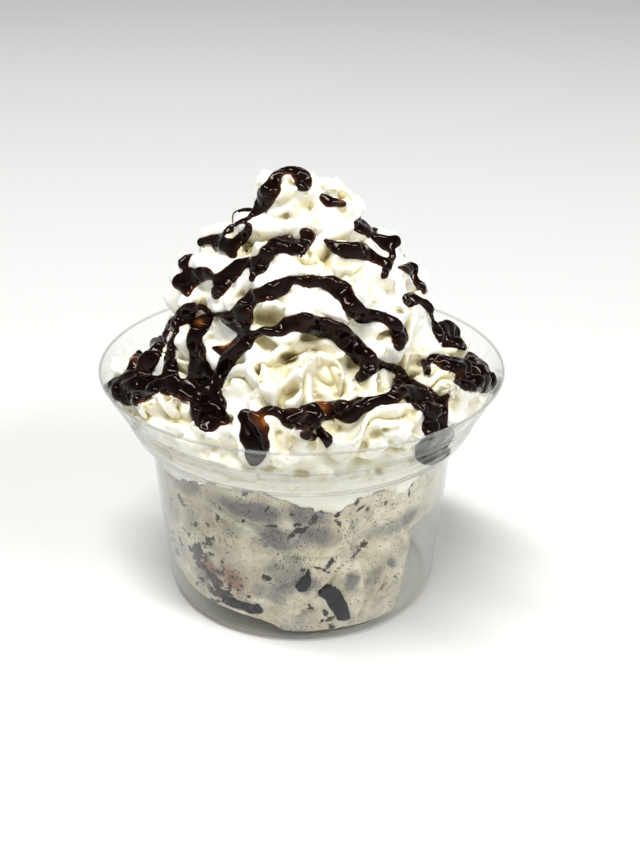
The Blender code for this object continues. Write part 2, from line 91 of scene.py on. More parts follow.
def read_points(mesh):
    """The mesh's points as an array."""
    flat = np.empty(len(mesh.vertices) * 3, dtype=np.float32)
    mesh.vertices.foreach_get("co", flat)
    return flat.reshape(-1, 3).astype(float)


def add_values(mesh, name, values):
    """Stores one number for each of the mesh's points, for its material to read."""
    mesh.attributes.new(name, "FLOAT", "POINT").data.foreach_set("value", values.astype(np.float32))


def wall_radius(height):
    """The inner face's distance to the axis, above the foot."""
    rows = [(r - WALL / MM * 0.98, z) for r, z in CUP_OUTLINE[7:-5]]
    return np.interp(height / MM, [z for _, z in rows], [r for r, _ in rows]) * MM


bpy.ops.object.select_all(action="DESELECT")
bpy.ops.mesh.primitive_circle_add(vertices=SEGMENTS, radius=CUP_OUTLINE[0][0] * MM, fill_type="TRIFAN",
                                  location=(0, 0, CUP_OUTLINE[0][1] * MM))
cup = bpy.context.object
cup.name = "clear_cup"
bpy.ops.object.transform_apply(location=True)
bpy.ops.object.mode_set(mode="EDIT")
bpy.ops.mesh.select_all(action="DESELECT")
bpy.ops.object.mode_set(mode="OBJECT")
for edge in cup.data.edges:
    ends = [cup.data.vertices[v].co.xy.length for v in edge.vertices]
    edge.select = min(ends) > 0.9 * CUP_OUTLINE[0][0] * MM
bpy.ops.object.mode_set(mode="EDIT")
bpy.ops.mesh.select_mode(type="EDGE")
for (radius, height), (next_radius, next_height) in zip(CUP_OUTLINE, CUP_OUTLINE[1:]):
    bpy.ops.mesh.extrude_edges_move(TRANSFORM_OT_translate={"value": (0, 0, (next_height - height) * MM)})
    grow = next_radius / radius
    bpy.ops.transform.resize(value=(grow, grow, 1), center_override=(0, 0, next_height * MM))
bpy.ops.mesh.select_all(action="SELECT")
bpy.ops.mesh.normals_make_consistent(inside=False)
bpy.ops.object.mode_set(mode="OBJECT")
for vert in cup.data.vertices:
    azimuth = math.degrees(math.atan2(vert.co.y, vert.co.x)) % 360
    inside = any(first <= azimuth <= last for first, last in RIB_GROUPS)
    if inside and RIB_BAND[0] < vert.co.z < RIB_BAND[1] and azimuth % RIB_PITCH < RIB_WIDTH:
        out = 1 + RIB_HEIGHT / vert.co.xy.length
        vert.co.x *= out
        vert.co.y *= out
# How sharply the outline turns at each point, stored for the material's painted dark lines at the bends.
runs = np.diff(np.array(CUP_OUTLINE), axis=0)
turns = np.abs(np.diff(np.unwrap(np.arctan2(runs[:, 1], runs[:, 0]))))
bends = np.concatenate([[0], np.clip(turns / SHARP_TURN, 0, 1), [1]])
cup_points = read_points(cup.data) / MM
rows = np.stack([np.hypot(cup_points[:, 0], cup_points[:, 1]), cup_points[:, 2]], axis=1)
nearest = np.linalg.norm(rows[:, None] - np.array(CUP_OUTLINE)[None], axis=2).argmin(axis=1)
add_values(cup.data, "bend", bends[nearest])
only(cup)
thicken = cup.modifiers.new("wall", "SOLIDIFY")
thicken.thickness = WALL
thicken.offset = -1
thicken.use_even_offset = False
bpy.ops.object.modifier_apply(modifier="wall")
bpy.ops.object.shade_smooth_by_angle(angle=math.radians(50))


class Wire:
    """A node's output that can be used in sums, such as 1 - mask * 0.5."""

    def __init__(self, tree, socket):
        self.tree, self.socket = tree, socket

    def math(self, operation, first, second, clamp=False):
        settings = {"operation": operation, "use_clamp": clamp}
        return node(self.tree, "ShaderNodeMath", settings, {0: first, 1: second})

    def __add__(self, other):
        return self.math("ADD", self, other)

    def __sub__(self, other):
        return self.math("SUBTRACT", self, other)

    def __mul__(self, other):
        return self.math("MULTIPLY", self, other)

    def __pow__(self, other):
        return self.math("POWER", self, other)

    def __radd__(self, other):
        return self.math("ADD", other, self)

    def __rsub__(self, other):
        return self.math("SUBTRACT", other, self)

    def __rmul__(self, other):
        return self.math("MULTIPLY", other, self)

    def clamp(self):
        return self.math("ADD", self, 0.0, clamp=True)


def node(tree, kind, settings=None, sockets=None, out=0):
    """Adds one node: its settings first, then its sockets' values or links. Gives the output asked for."""
    made = tree.nodes.new(kind)
    for name, value in (settings or {}).items():
        if name == "stops":
            ramp = made.color_ramp
            while len(ramp.elements) < len(value):
                ramp.elements.new(0.5)
            for element, (place, color) in zip(ramp.elements, value):
                element.position = place
                element.color = (*color, 1.0)
        else:
            setattr(made, name, value)
    for name, value in (sockets or {}).items():
        if isinstance(value, Wire):
            tree.links.new(value.socket, made.inputs[name])
        elif made.inputs[name].type == "RGBA" and len(value) == 3:
            made.inputs[name].default_value = (*value, 1.0)
        else:
            made.inputs[name].default_value = value
    return Wire(tree, made.outputs[out])


def finish(name, **values):
    """A material with these values on its Principled shader, and its node tree."""
    material = bpy.data.materials.new(name)
    material.use_nodes = True
    shader = material.node_tree.nodes["Principled BSDF"]
    for socket, value in values.items():
        shader.inputs[socket.replace("_", " ")].default_value = value
    return material, material.node_tree, shader


def feed(tree, shader, **wires):
    """Links wires to the shader's sockets."""
    for socket, wire in wires.items():
        tree.links.new(wire.socket, shader.inputs[socket.replace("_", " ")])


def blend_color(tree, share, first, second):
    """One colour where the share is 0 and the other where it is 1."""
    return node(tree, "ShaderNodeMix", {"data_type": "RGBA"}, {0: share, 6: first, 7: second}, out=2)


def own_place(tree):
    """Where on the piece each spot lies."""
    return node(tree, "ShaderNodeTexCoord", out=3)


def stored(tree, name):
    """The number that the mesh's points hold under this name."""
    return node(tree, "ShaderNodeAttribute", {"attribute_name": name}, out=2)


def mottle(tree, place, scale, detail, out=0, **more):
    """Soft random patches."""
    sockets = {"Vector": place, "Scale": scale, "Detail": detail, **more}
    return node(tree, "ShaderNodeTexNoise", {}, sockets, out)


def between(tree, value, low, high):
    """The value's place between low, which gives 0, and high, which gives 1."""
    return node(tree, "ShaderNodeMapRange", {}, {0: value, 1: low, 2: high})


def shaded(tree, share, *stops):
    """A colour that runs through the stops as the share grows."""
    return node(tree, "ShaderNodeValToRGB", {"stops": stops}, {"Fac": share})


def bumped(tree, height, strength, distance):
    """The way the surface faces, tilted by fine bumps."""
    return node(tree, "ShaderNodeBump", {}, {"Strength": strength, "Distance": distance, "Height": height})


clear_plastic, tree, shader = finish("clear_plastic", Base_Color=(0.40, 0.405, 0.385, 1), Roughness=0.12)
drawn = bumped(tree, mottle(tree, own_place(tree), 60.0, 1.0), 0.03, 0.3 * MM)
feed(tree, shader, Normal=drawn)
see_through = node(tree, "ShaderNodeBsdfTransparent", {}, {"Color": (0.996, 0.998, 0.992)})
polish = {"Color": (0.95, 0.96, 0.96), "Roughness": 0.04, "Normal": drawn}
gloss = node(tree, "ShaderNodeBsdfGlossy", {}, polish)
slant = node(tree, "ShaderNodeLayerWeight", {}, {"Blend": 0.5, "Normal": drawn}, out=1)
face = node(tree, "ShaderNodeMixShader", {}, {0: 0.005 + slant**5.0 * 0.8, 1: see_through, 2: gloss})
# Painted shade: grey matte plastic is mixed in at grazing angles and where the outline bends sharply. This
# gives dark edge lines in place of the darkening that refraction brings there.
line = (slant**4.0 * 0.55 + stored(tree, "bend")**2.0 * 0.26).clamp()
whole = node(tree, "ShaderNodeMixShader", {}, {0: line, 1: face, 2: Wire(tree, shader.outputs[0])})
tree.links.new(whole.socket, tree.nodes["Material Output"].inputs["Surface"])
cup.data.materials.append(clear_plastic)
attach(cup, "root")
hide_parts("cup")


# The ice cream is soft scoops pressed down into the cup. They lie flat against the wall over most of the
# front, and stand clear of it low on the left and on most of the right. Crushed cookie is smeared and stirred
# through it.
FLOOR_INSIDE = 1.55 * MM
CROWN_HEIGHT = 47.0 * MM
PRESSED_IN = 0.15 * MM
FOOT_ROUND = 2.8 * MM
TOUCH_REACH = 0.12 * MM
# The scoops' top edge: azimuth in degrees, then height in millimetres
SCOOP_EDGE = [
    (-180, 38.0), (-152, 36.4), (-136, 39.4), (-120, 42.0), (-104, 43.4), (-92, 39.4), (-78, 36.3),
    (-69, 40.2), (-58, 40.6), (-50, 37.0), (-44, 39.6), (0, 41.0), (90, 42.0), (180, 38.0),
]
# Where the scoops stand back from the wall low down: azimuth, the height where they leave it, how far they
# stand back at the floor, and the power of the curve between
UNDERCUT = [
    (-180, 12.0, 10.0, 1.0), (-160, 8.6, 8.0, 1.0), (-140, 6.4, 7.0, 0.9), (-107, 5.4, 6.0, 0.9),
    (-97, 2.6, 3.0, 0.9), (-91, 0.5, 1.0, 1.0), (-52, 0.5, 1.0, 1.0), (-45, 5.0, 6.0, 0.7),
    (-41, 26.0, 12.0, 0.3), (-20, 26.5, 14.0, 0.35), (0, 31.0, 15.0, 0.4), (45, 26.0, 12.0, 0.8),
    (90, 12.0, 7.0, 1.0), (180, 12.0, 10.0, 1.0),
]
SCOOP_SIDES = 720
SCOOP_LEVELS = 116
CROWN_SHARES = (0.9, 0.75, 0.5, 0.25)
WALL_MM_PER_DEGREE = 0.63
# Cookie bits bare at the wall: azimuth in degrees, height, half length and half width in millimetres, then
# lean in degrees
COOKIE_BITS = [
    (-104, 18.3, 1.5, 1.0, 10), (-94, 31.2, 1.3, 0.9, 40), (-90.5, 32.8, 2.0, 0.9, 20),
    (-91, 34.2, 1.5, 0.6, 0), (-81.5, 38.3, 3.0, 1.3, -15), (-77.5, 36.9, 1.4, 1.0, 0),
    (-76.5, 34.2, 1.5, 0.6, -60), (-85.5, 36.2, 1.8, 0.8, 70), (-70.2, 39.0, 1.5, 0.8, -60),
    (-68.5, 37.3, 1.6, 0.45, 25), (-64.7, 36.3, 0.9, 0.5, 90), (-57.2, 36.6, 1.8, 0.8, -65),
    (-66.2, 26.2, 2.2, 1.0, 45), (-69.5, 24.2, 1.5, 0.7, 30), (-79.2, 22.6, 1.4, 0.9, 60),
    (-81.0, 20.9, 1.3, 0.7, -30), (-84.0, 21.6, 1.5, 0.5, -20), (-90.2, 21.2, 1.1, 0.5, 20),
    (-86.4, 9.6, 1.1, 0.8, -50), (-80.5, 7.6, 1.8, 0.9, -70), (-78.6, 6.0, 1.3, 0.8, 20),
    (-81.7, 5.6, 0.8, 0.5, 60), (-77.8, 3.8, 1.5, 1.0, -50), (-48.3, 13.2, 1.3, 0.5, -40),
    (-47.0, 41.0, 1.5, 0.8, -20), (-44.5, 39.0, 1.4, 0.8, 30), (-46.0, 37.0, 1.8, 0.5, 90),
    (-143.5, 32.3, 1.7, 1.0, -35), (-123, 32.4, 1.2, 0.7, 70), (-135.5, 27.6, 1.6, 0.6, 35),
    (-138.5, 26.8, 0.7, 0.5, 30), (-128.8, 29.3, 0.8, 0.6, 0), (-145, 23.3, 1.0, 0.9, 0),
    (-141, 23.3, 1.3, 1.0, -40), (-141.3, 18.9, 1.2, 0.9, 60), (-149.3, 18.7, 1.6, 0.9, -45),
    (-129.5, 24.2, 2.1, 1.2, 55), (-127.5, 25.4, 0.9, 0.8, 0), (-129, 20.7, 1.0, 0.8, 0),
    (-131.5, 22.5, 1.3, 0.9, 80), (-135, 20.5, 3.0, 1.3, 75), (-137, 17.2, 2.6, 1.7, 30),
    (-135, 16.3, 2.8, 1.5, -20), (-132, 14.5, 2.1, 1.1, 0), (-132, 18.8, 1.7, 0.8, 70),
    (-138, 15.0, 1.6, 0.8, -30), (-129.5, 13, 2.0, 1.3, 30), (-125.5, 12.8, 1.2, 1.0, 0),
    (-126, 11.2, 1.8, 0.8, 0), (-123.8, 16.6, 1.5, 0.7, 70), (-125.8, 15.8, 1.4, 0.9, 40),
    (-123.3, 19.3, 1.4, 0.6, 70), (-121, 11.6, 1.1, 0.8, -10), (-120.3, 13.5, 1.0, 0.7, 70),
    (-118.7, 16.3, 0.6, 0.6, 0), (-113, 10.6, 0.7, 0.6, 0), (-111.3, 11.8, 0.8, 0.5, 40),
    (-117, 12.5, 0.5, 0.4, 0), (-115, 14.5, 0.7, 0.4, 30), (-131, 9.5, 1.9, 1.0, -30),
    (-129, 8.8, 1.6, 1.0, 0), (-131, 6.3, 1.3, 0.9, 30), (-127.5, 7.0, 1.4, 0.8, 20),
    (-140, 8.7, 0.9, 0.5, 40), (-136, 11.0, 1.5, 0.7, -20), (-136.5, 18.5, 4.4, 2.4, 75),
    (-130.5, 13.8, 4.0, 2.2, -40), (-124.5, 10.8, 4.2, 1.5, -15), (-124, 9.3, 2.3, 1.0, -5),
    (-163, 25, 3.4, 0.9, 25), (-160, 17.5, 3.8, 0.9, 30), (-162, 14.8, 3.2, 0.8, 28),
    (-158, 12.2, 3.0, 1.2, 25), (-153.5, 29.4, 1.9, 0.7, 30), (-154, 27.2, 1.7, 0.9, 0),
    (-110, 41.8, 1.7, 1.0, 30), (-102.5, 38.2, 1.1, 0.5, 60), (-93.5, 36.8, 0.6, 0.7, 60),
    (-112.3, 33.6, 0.7, 0.5, 0), (-101.5, 33.5, 1.7, 0.5, 10), (60, 20.0, 3.0, 1.6, 30),
    (82, 12.0, 2.0, 1.2, 0), (110, 28.0, 2.6, 1.4, -40), (131, 16.0, 3.2, 1.8, 10),
    (155, 30.0, 2.2, 1.3, 60), (-175, 22.0, 2.8, 1.2, 20), (20, 33.0, 2.0, 1.2, -20),
]
# Soft grey smears, and two marks of painted shade, laid out in the same way, then how strong each is
GREY_SMEARS_AND_SHADE = [
    (-110, 37, 14, 3.4, -3, 0.75), (-88, 36.5, 8, 3.6, -10, 0.9), (-140, 37, 8, 3.0, 10, 0.65),
    (-84, 30.5, 8, 4.2, -10, 0.8), (-97, 29.5, 9, 4.2, -5, 0.65), (-72, 33, 4, 3.0, 0, 0.3),
    (-50, 29.5, 12, 3.4, 0, 0.7), (-98, 14, 6, 4.0, 30, 0.45), (-88, 17, 5, 4.5, 0, 0.6),
    (-108, 14, 3, 3.0, 0, 0.5), (-150, 15, 8, 5.0, 30, 0.6), (-155, 25, 8, 4.0, 30, 0.5),
    (-133, 15, 6.5, 5.0, 60, 0.8), (-112, 8.5, 9, 2.2, 0, 0.7), (-100, 20, 4, 4.0, 0, 0.35),
    (-119, 37.6, 2.6, 1.6, -15, 0.9), (-108.5, 38.5, 1.8, 1.6, 0, 0.8), (-134, 38.6, 2.8, 1.4, 0, 0.8),
    (-103.3, 28, 1.9, 0.9, 60, 0.9), (-100, 27.8, 1.9, 0.9, -40, 0.9), (-51.2, 18, 2.2, 1.4, -50, 0.9),
    # The marks at azimuths -60 and -69.5 on the next line are painted shade, darkening a shaded recess low on
    # the front, right of the middle.
    (-81, 31.2, 1.5, 1.2, 0, 0.8), (-60, 15, 5.0, 3.0, 75, 0.6), (-69.5, 16.5, 4.5, 2.6, 80, 0.75),
    (70, 30, 12, 5, 10, 0.7), (120, 18, 10, 6, -20, 0.7), (165, 30, 9, 5, 20, 0.6),
    (10, 20, 10, 6, 10, 0.6),
]
# Brown stains, laid out as the smears are
BROWN_STAINS = [
    (-119, 15.5, 6.5, 5.0, -45, 1.0), (-130, 15.5, 6.5, 3.2, -60, 0.9), (-100, 42.3, 2.8, 1.0, 0, 0.6),
    (-55, 11.7, 1.8, 0.8, 40, 0.8), (100, 20, 5, 4, 30, 0.7),
]
# Seams where one lump laps over another: half width and depth in millimetres, then azimuths and heights
LUMP_SEAMS = [
    (0.65, 1.0, [(-97.5, 24.9), (-92, 24.7), (-87, 24.3), (-82, 24), (-77, 24.2), (-73.5, 23.8),
        (-75, 21.5), (-77.5, 19), (-78.6, 17), (-82, 14.5), (-86, 12), (-90, 10.2), (-94, 9.3)]),
    (0.5, 0.8, [(-73.5, 30), (-72.5, 28), (-70, 26.2), (-67, 27), (-64.5, 28.4)]),
    (0.6, 0.9, [(-62, 26.6), (-56, 26), (-50, 25.3), (-45, 25.1), (-38, 25.4), (-32, 26.2)]),
    (0.5, 0.6, [(-58, 31), (-56, 32.5), (-50, 34), (-44, 35), (-38, 35.5), (-30, 36.5)]),
    (0.8, 1.3, [(-67, 22), (-65, 19), (-63.5, 15.5), (-62.5, 12.5), (-62, 10.5), (-63, 8.2), (-64, 6.5),
        (-65, 4.2)]),
    (0.5, 0.8, [(-54, 15), (-54, 12.5), (-56, 11.3), (-58.5, 10.3)]),
    (0.45, 0.5, [(-122, 36), (-117, 34.5), (-112, 34), (-106, 33), (-101, 32.5), (-96, 31.5)]),
    (0.45, 0.5, [(-106, 26.5), (-102, 26.8), (-97, 26.2), (-91, 25.6)]),
    (0.6, 0.9, [(30, 14), (45, 18), (60, 26), (80, 30), (100, 28)]),
    (0.6, 0.9, [(110, 10), (122, 18), (140, 24), (160, 24), (175, 20)]),
]
# Hollows behind the wall: azimuth, height, half length, half width, lean, depth
SCOOP_HOLLOWS = [
    (-60, 14.5, 5.0, 2.4, 78, 1.3), (-66, 22, 2.8, 1.8, 60, 1.1), (-51, 18.5, 2.2, 1.6, 0, 0.9),
    (-88, 9, 3.0, 1.0, 15, 0.8), (-49.5, 22, 1.8, 1.2, 60, 0.8), (-71, 19, 1.6, 3.0, 0, 0.7),
    (-118, 5.8, 5.0, 0.6, 0, 0.8), (-56, 36, 1.2, 2.0, 0, 0.9), (75, 22, 5, 3, 30, 1.4),
    (140, 14, 5, 3, -30, 1.4),
]


def undercut(azimuth, height):
    """How far the scoop stands back from the wall."""
    rows = np.array(UNDERCUT, dtype=float)
    leave, depth, power = (float(np.interp(azimuth, rows[:, 0], rows[:, i])) for i in (1, 2, 3))
    share = 1 - height / (leave * MM)
    return 0.0 if share <= 0 else depth * MM * min(share, 1.0) ** power


def edge_height(azimuth):
    """The height of the scoop's top edge at the wall, with its ragged line."""
    angle = math.radians(azimuth)
    ragged = noise.fractal((9 * math.cos(angle), 9 * math.sin(angle), 3.1), 0.8, 2.0, 4)
    return (float(np.interp(azimuth, *zip(*SCOOP_EDGE))) + 1.1 * ragged) * MM


def polar(radius, azimuth, height):
    """A point from its distance to the axis, azimuth in degrees and height."""
    angle = math.radians(azimuth)
    return Vector((radius * math.cos(angle), radius * math.sin(angle), height))


def grid_faces(rings, sides, first=0):
    """Quads between closed rings of points, numbered ring by ring."""
    ring, side = np.meshgrid(np.arange(rings - 1), np.arange(sides), indexing="ij")
    low, after = first + ring * sides, (side + 1) % sides
    quads = np.stack([low + side, low + after, low + sides + after, low + sides + side], axis=-1)
    return quads.reshape(-1, 4)


def closed_skin(rings_of_points, low, high):
    """Points and faces of a skin over rings, closed by a middle point below the first and above the last."""
    rings, sides = rings_of_points.shape[:2]
    points = np.vstack([rings_of_points.reshape(-1, 3), [low, high]])
    quads = grid_faces(rings, sides).tolist()
    side = np.arange(sides)
    after = (side + 1) % sides
    last = (rings - 1) * sides
    bottom = np.stack([np.full(sides, rings * sides), after, side], axis=-1).tolist()
    top = np.stack([np.full(sides, rings * sides + 1), last + side, last + after], axis=-1).tolist()
    return points, quads + bottom + top


def add_piece(name, points, faces):
    """An object of the given points and faces, at the origin."""
    mesh = bpy.data.meshes.new(name)
    mesh.from_pydata([tuple(p) for p in points], [], faces)
    mesh.update()
    made = bpy.data.objects.new(name, mesh)
    bpy.context.scene.collection.objects.link(made)
    return made


def wall_spots(azimuths, heights, marks):
    """How deep each place lies in the nearest oval mark: 1 at its middle, 0 at its edge, less outside."""
    deepest = np.full(len(azimuths), -3.0)
    for azimuth, height, long, wide, lean, *strength in marks:
        aside = ((azimuths - azimuth + 180) % 360 - 180) * WALL_MM_PER_DEGREE
        above = heights / MM - height
        turn_by = math.radians(lean)
        forward = (aside * math.cos(turn_by) + above * math.sin(turn_by)) / long
        across = (above * math.cos(turn_by) - aside * math.sin(turn_by)) / wide
        inside = 1 - np.hypot(forward, across)
        if strength:
            inside = np.clip(inside * 1.6, 0, 1) * strength[0]
        deepest = np.maximum(deepest, inside)
    return deepest


def seam_depth(azimuths, heights):
    """How deep the seams between the lumps are at each place, in millimetres."""
    depth = np.zeros(len(azimuths))
    places = np.stack([azimuths * WALL_MM_PER_DEGREE, heights / MM], axis=1)
    for half, most, line in LUMP_SEAMS:
        corners = np.array(line) * [WALL_MM_PER_DEGREE, 1.0]
        away = np.full(len(places), 1e3)
        for start, end in zip(corners, corners[1:]):
            run = end - start
            share = np.clip((places - start) @ run / (run @ run), 0, 1)
            away = np.minimum(away, np.linalg.norm(places - start - share[:, None] * run, axis=1))
        depth = np.maximum(depth, most * np.exp(-((away / half) ** 2)))
    return depth


rings = []
for level in range(SCOOP_LEVELS):
    share = level / (SCOOP_LEVELS - 1)
    ring = []
    for side in range(SCOOP_SIDES):
        azimuth = -180 + 360 * side / SCOOP_SIDES
        height = FLOOR_INSIDE + (edge_height(azimuth) - FLOOR_INSIDE) * share
        stand = undercut(azimuth, height)
        place_here = polar(35, azimuth, height / MM)
        lump = noise.fractal(place_here * 0.11, 0.7, 2.0, 4)
        radius = wall_radius(max(height, FOOT_ROUND)) - stand
        if height < FOOT_ROUND:
            radius -= (FOOT_ROUND - height) * 1.3
        relief = (0.85 + 0.8 * min(1.0, stand / (2 * MM))) * MM
        dent = noise.fractal(place_here * 0.42 + Vector((0, 0, 7)), 0.6, 2.0, 3) * 0.22
        out_by = min(relief * (lump + dent + 0.10), 0.0)
        ring.append(polar(radius + PRESSED_IN + out_by, azimuth, height))
    rings.append(ring)
for share in CROWN_SHARES:
    ring = []
    for side in range(SCOOP_SIDES):
        azimuth = -180 + 360 * side / SCOOP_SIDES
        top = CROWN_HEIGHT + (edge_height(azimuth) - CROWN_HEIGHT) * share**2
        ring.append(polar(wall_radius(edge_height(azimuth)) * share, azimuth, top))
    rings.append(ring)
points, faces = closed_skin(np.array(rings), (0, 0, FLOOR_INSIDE), (0, 0, CROWN_HEIGHT))
side_points = SCOOP_SIDES * SCOOP_LEVELS
azimuths = np.degrees(np.arctan2(points[:, 1], points[:, 0]))
heights = points[:, 2].copy()
sunk = seam_depth(azimuths, heights)
for azimuth, height, long, wide, lean, depth in SCOOP_HOLLOWS:
    inside = wall_spots(azimuths, heights, [(azimuth, height, long, wide, lean)])
    sunk = np.maximum(sunk, depth * np.clip(inside * 1.8, 0, 1))
sunk[side_points:] = 0
distances = np.hypot(points[:, 0], points[:, 1])
gaps = wall_radius(np.maximum(heights, FOOT_ROUND)) + PRESSED_IN - distances + sunk * MM
touch = np.clip(1 - gaps / TOUCH_REACH, 0, 1)
points[:, :2] *= (1 - sunk * MM / np.maximum(distances, MM))[:, None]
gelato = add_piece("ice_cream", points, faces)
gelato.data.shade_smooth()
add_values(gelato.data, "bits", wall_spots(azimuths, heights, COOKIE_BITS))
add_values(gelato.data, "smears", np.clip(wall_spots(azimuths, heights, GREY_SMEARS_AND_SHADE), 0, 1))
add_values(gelato.data, "touch", touch)
add_values(gelato.data, "stains", np.clip(wall_spots(azimuths, heights, BROWN_STAINS), 0, 1))

ice_cream, tree, shader = finish("ice_cream", Roughness=0.45, Subsurface_Weight=0.35,
                                 Subsurface_Scale=2 * MM, Subsurface_Radius=(1.0, 0.8, 0.55))
place = own_place(tree)
warp = mottle(tree, place, 70.0, 2.0, out=1)
folded = node(tree, "ShaderNodeMix", {"data_type": "VECTOR"}, {0: 0.012, 4: place, 5: warp}, out=1)
marbling = mottle(tree, folded, 120.0, 5.0, Distortion=1.0)
smears, stains = stored(tree, "smears"), stored(tree, "stains")
cloudy = mottle(tree, folded, 52.0, 7.0, Roughness=0.70)
# The grey mask carries real cookie smears and, at two marks, painted shade.
smear_and_shade = between(tree, smears * 0.34 + cloudy * 0.75 + marbling * 0.55, 0.64, 0.93)
rich = between(tree, mottle(tree, folded, 150.0, 5.0, Roughness=0.65), 0.40, 0.62)
ivory = blend_color(tree, rich, (0.76, 0.725, 0.595), (0.55, 0.495, 0.35))
ivory = blend_color(tree, stored(tree, "touch") * 0.45, ivory, (0.49, 0.45, 0.36))
body = blend_color(tree, smear_and_shade, ivory, (0.215, 0.20, 0.195))
body = blend_color(tree, (stains * (0.45 + marbling * 0.9)).clamp(), body, (0.31, 0.175, 0.115))
fine = node(tree, "ShaderNodeTexVoronoi", {}, {"Vector": folded, "Scale": 1100.0})
fine_size = mottle(tree, place, 190.0, 3.0) + stains * 0.3 + smears * 0.04
specks = between(tree, fine - fine_size * 0.46, 0.02, -0.05)
ragged = mottle(tree, folded, 620.0, 5.0, Roughness=0.7)
crumbs = between(tree, stored(tree, "bits") + (ragged - 0.5) * 4.4, 0.10, 0.36)
cookie_shade = blend_color(tree, marbling, (0.022, 0.022, 0.030), (0.085, 0.066, 0.062))
feed(tree, shader, Base_Color=blend_color(tree, (specks * 0.75 + crumbs).clamp(), body, cookie_shade),
     Normal=bumped(tree, mottle(tree, place, 700.0, 4.0), 0.35, 0.4 * MM))
gelato.data.materials.append(ice_cream)
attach(gelato, "root")
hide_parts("gelato")


# Broken cookie pieces are stirred into the ice cream. The largest lie bare against the wall, where the scoop
# was pressed flat. Each outline is in millimetres, to the right and up from the piece's middle.
COOKIE_PIECES = [
    ("cookie_piece_1", "cookie_chunk_1", -76.5, 10.6 * MM, [(-1.6, 5.6), (0.0, 5.4), (0.4, 4.4),
        (1.3, 3.4), (2.2, 1.4), (3.3, -1.6), (3.7, -3.6), (4.1, -5.3), (2.8, -5.7), (1.1, -5.4),
        (0.0, -3.1), (-1.6, -0.6), (-2.5, 1.7), (-4.1, 3.2), (-3.3, 4.6)]),
    ("cookie_piece_2", "cookie_chunk_2", -89.2, 17.7 * MM, [(1.2, 3.8), (1.7, 1.3), (1.5, -1.2),
        (0.6, -2.7), (-1.1, -2.7), (-2.0, -1.2), (-0.8, 0.3), (0.1, 1.8), (0.6, 3.3)]),
    ("cookie_piece_3", "cookie_chunk_3", -114.0, 8.6 * MM, [(-6.3, 1.2), (-3.1, 1.3), (0.6, 1.0),
        (3.8, 0.8), (5.0, -0.4), (3.8, -1.6), (1.9, -2.1), (-0.6, -1.6), (-3.8, -1.7), (-6.6, -1.2)]),
]
COOKIE_THICKNESS = 4.2 * MM
PRESSED_OFF = 0.9 * MM
COOKIE_VOXEL = 0.24 * MM
COOKIE_ROUGHNESS = 0.28 * MM

cookie, tree, shader = finish("cookie", Roughness=0.75)
crumb = mottle(tree, own_place(tree), 900.0, 5.0)
feed(tree, shader, Normal=bumped(tree, crumb, 0.6, 0.4 * MM), Base_Color=shaded(
    tree, crumb, (0.35, (0.010, 0.010, 0.015)), (0.6, (0.035, 0.032, 0.040)), (0.75, (0.14, 0.13, 0.13))))

for name, cad_node, azimuth, height, outline in COOKIE_PIECES:
    bpy.ops.object.select_all(action="DESELECT")
    bpy.ops.mesh.primitive_circle_add(vertices=len(outline), radius=MM, fill_type="NGON")
    piece = bpy.context.object
    piece.name = name
    for vert, (right, up) in zip(piece.data.vertices, outline):
        vert.co = (right * MM, 0, up * MM)
    bpy.ops.object.mode_set(mode="EDIT")
    bpy.ops.mesh.select_all(action="SELECT")
    bpy.ops.mesh.extrude_region_move(TRANSFORM_OT_translate={"value": (0, COOKIE_THICKNESS, 0)})
    bpy.ops.mesh.select_all(action="SELECT")
    bpy.ops.mesh.normals_make_consistent(inside=False)
    bpy.ops.object.mode_set(mode="OBJECT")
    crumble = piece.modifiers.new("crumble", "REMESH")
    crumble.mode = "VOXEL"
    crumble.voxel_size = COOKIE_VOXEL
    bpy.ops.object.modifier_apply(modifier="crumble")
    for vert in piece.data.vertices:
        rough = noise.fractal(vert.co / MM * 0.8 + Vector((azimuth, 0, 0)), 0.6, 2.0, 4)
        vert.co += vert.normal * COOKIE_ROUGHNESS * rough
    face_at = polar(wall_radius(height) + PRESSED_IN + PRESSED_OFF, azimuth, height)
    piece.data.transform(Matrix.Translation(face_at) @ Matrix.Rotation(math.radians(azimuth + 90), 4, "Z"))
    for vert in piece.data.vertices:
        most = wall_radius(vert.co.z) + PRESSED_IN + 0.05 * MM
        if vert.co.xy.length > most:
            vert.co.xy = vert.co.xy.normalized() * most
    piece.data.materials.append(cookie)
    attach(piece, "root")
    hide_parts(cad_node)


# The whipped cream is piped from a star nozzle in short, buckling folds, ring on ring up to a leaning curl.
# The folds' edges stand out as thin wavy lips. Below the rim the cream is pressed against the collar.

# Each ring of folds: how many, the first one's azimuth, the ring's radius and height, a fold's half width,
# how many degrees it spans and how far it climbs
CREAM_TIERS = [
    (10, -86.0, 31.5 * MM, 51.5 * MM, 12.2 * MM, 58.0, 2.0 * MM),
    (8, -64.0, 20.5 * MM, 67.5 * MM, 12.0 * MM, 70.0, 4.0 * MM),
    (6, -110.0, 16.5 * MM, 80.5 * MM, 11.6 * MM, 88.0, 4.0 * MM),
    (4, -60.0, 6.5 * MM, 92.5 * MM, 10.0 * MM, 110.0, 3.0 * MM),
]
# The solid heart under the folds: distance to the axis and height
CREAM_HEART = [
    (0.0, 34.0), (36.0, 34.5), (41.0, 41.5), (42.5, 46.5), (37.0, 51.0), (27.0, 60.0), (20.0, 72.0),
    (14.0, 86.0), (6.0, 96.0), (0.0, 98.0),
]
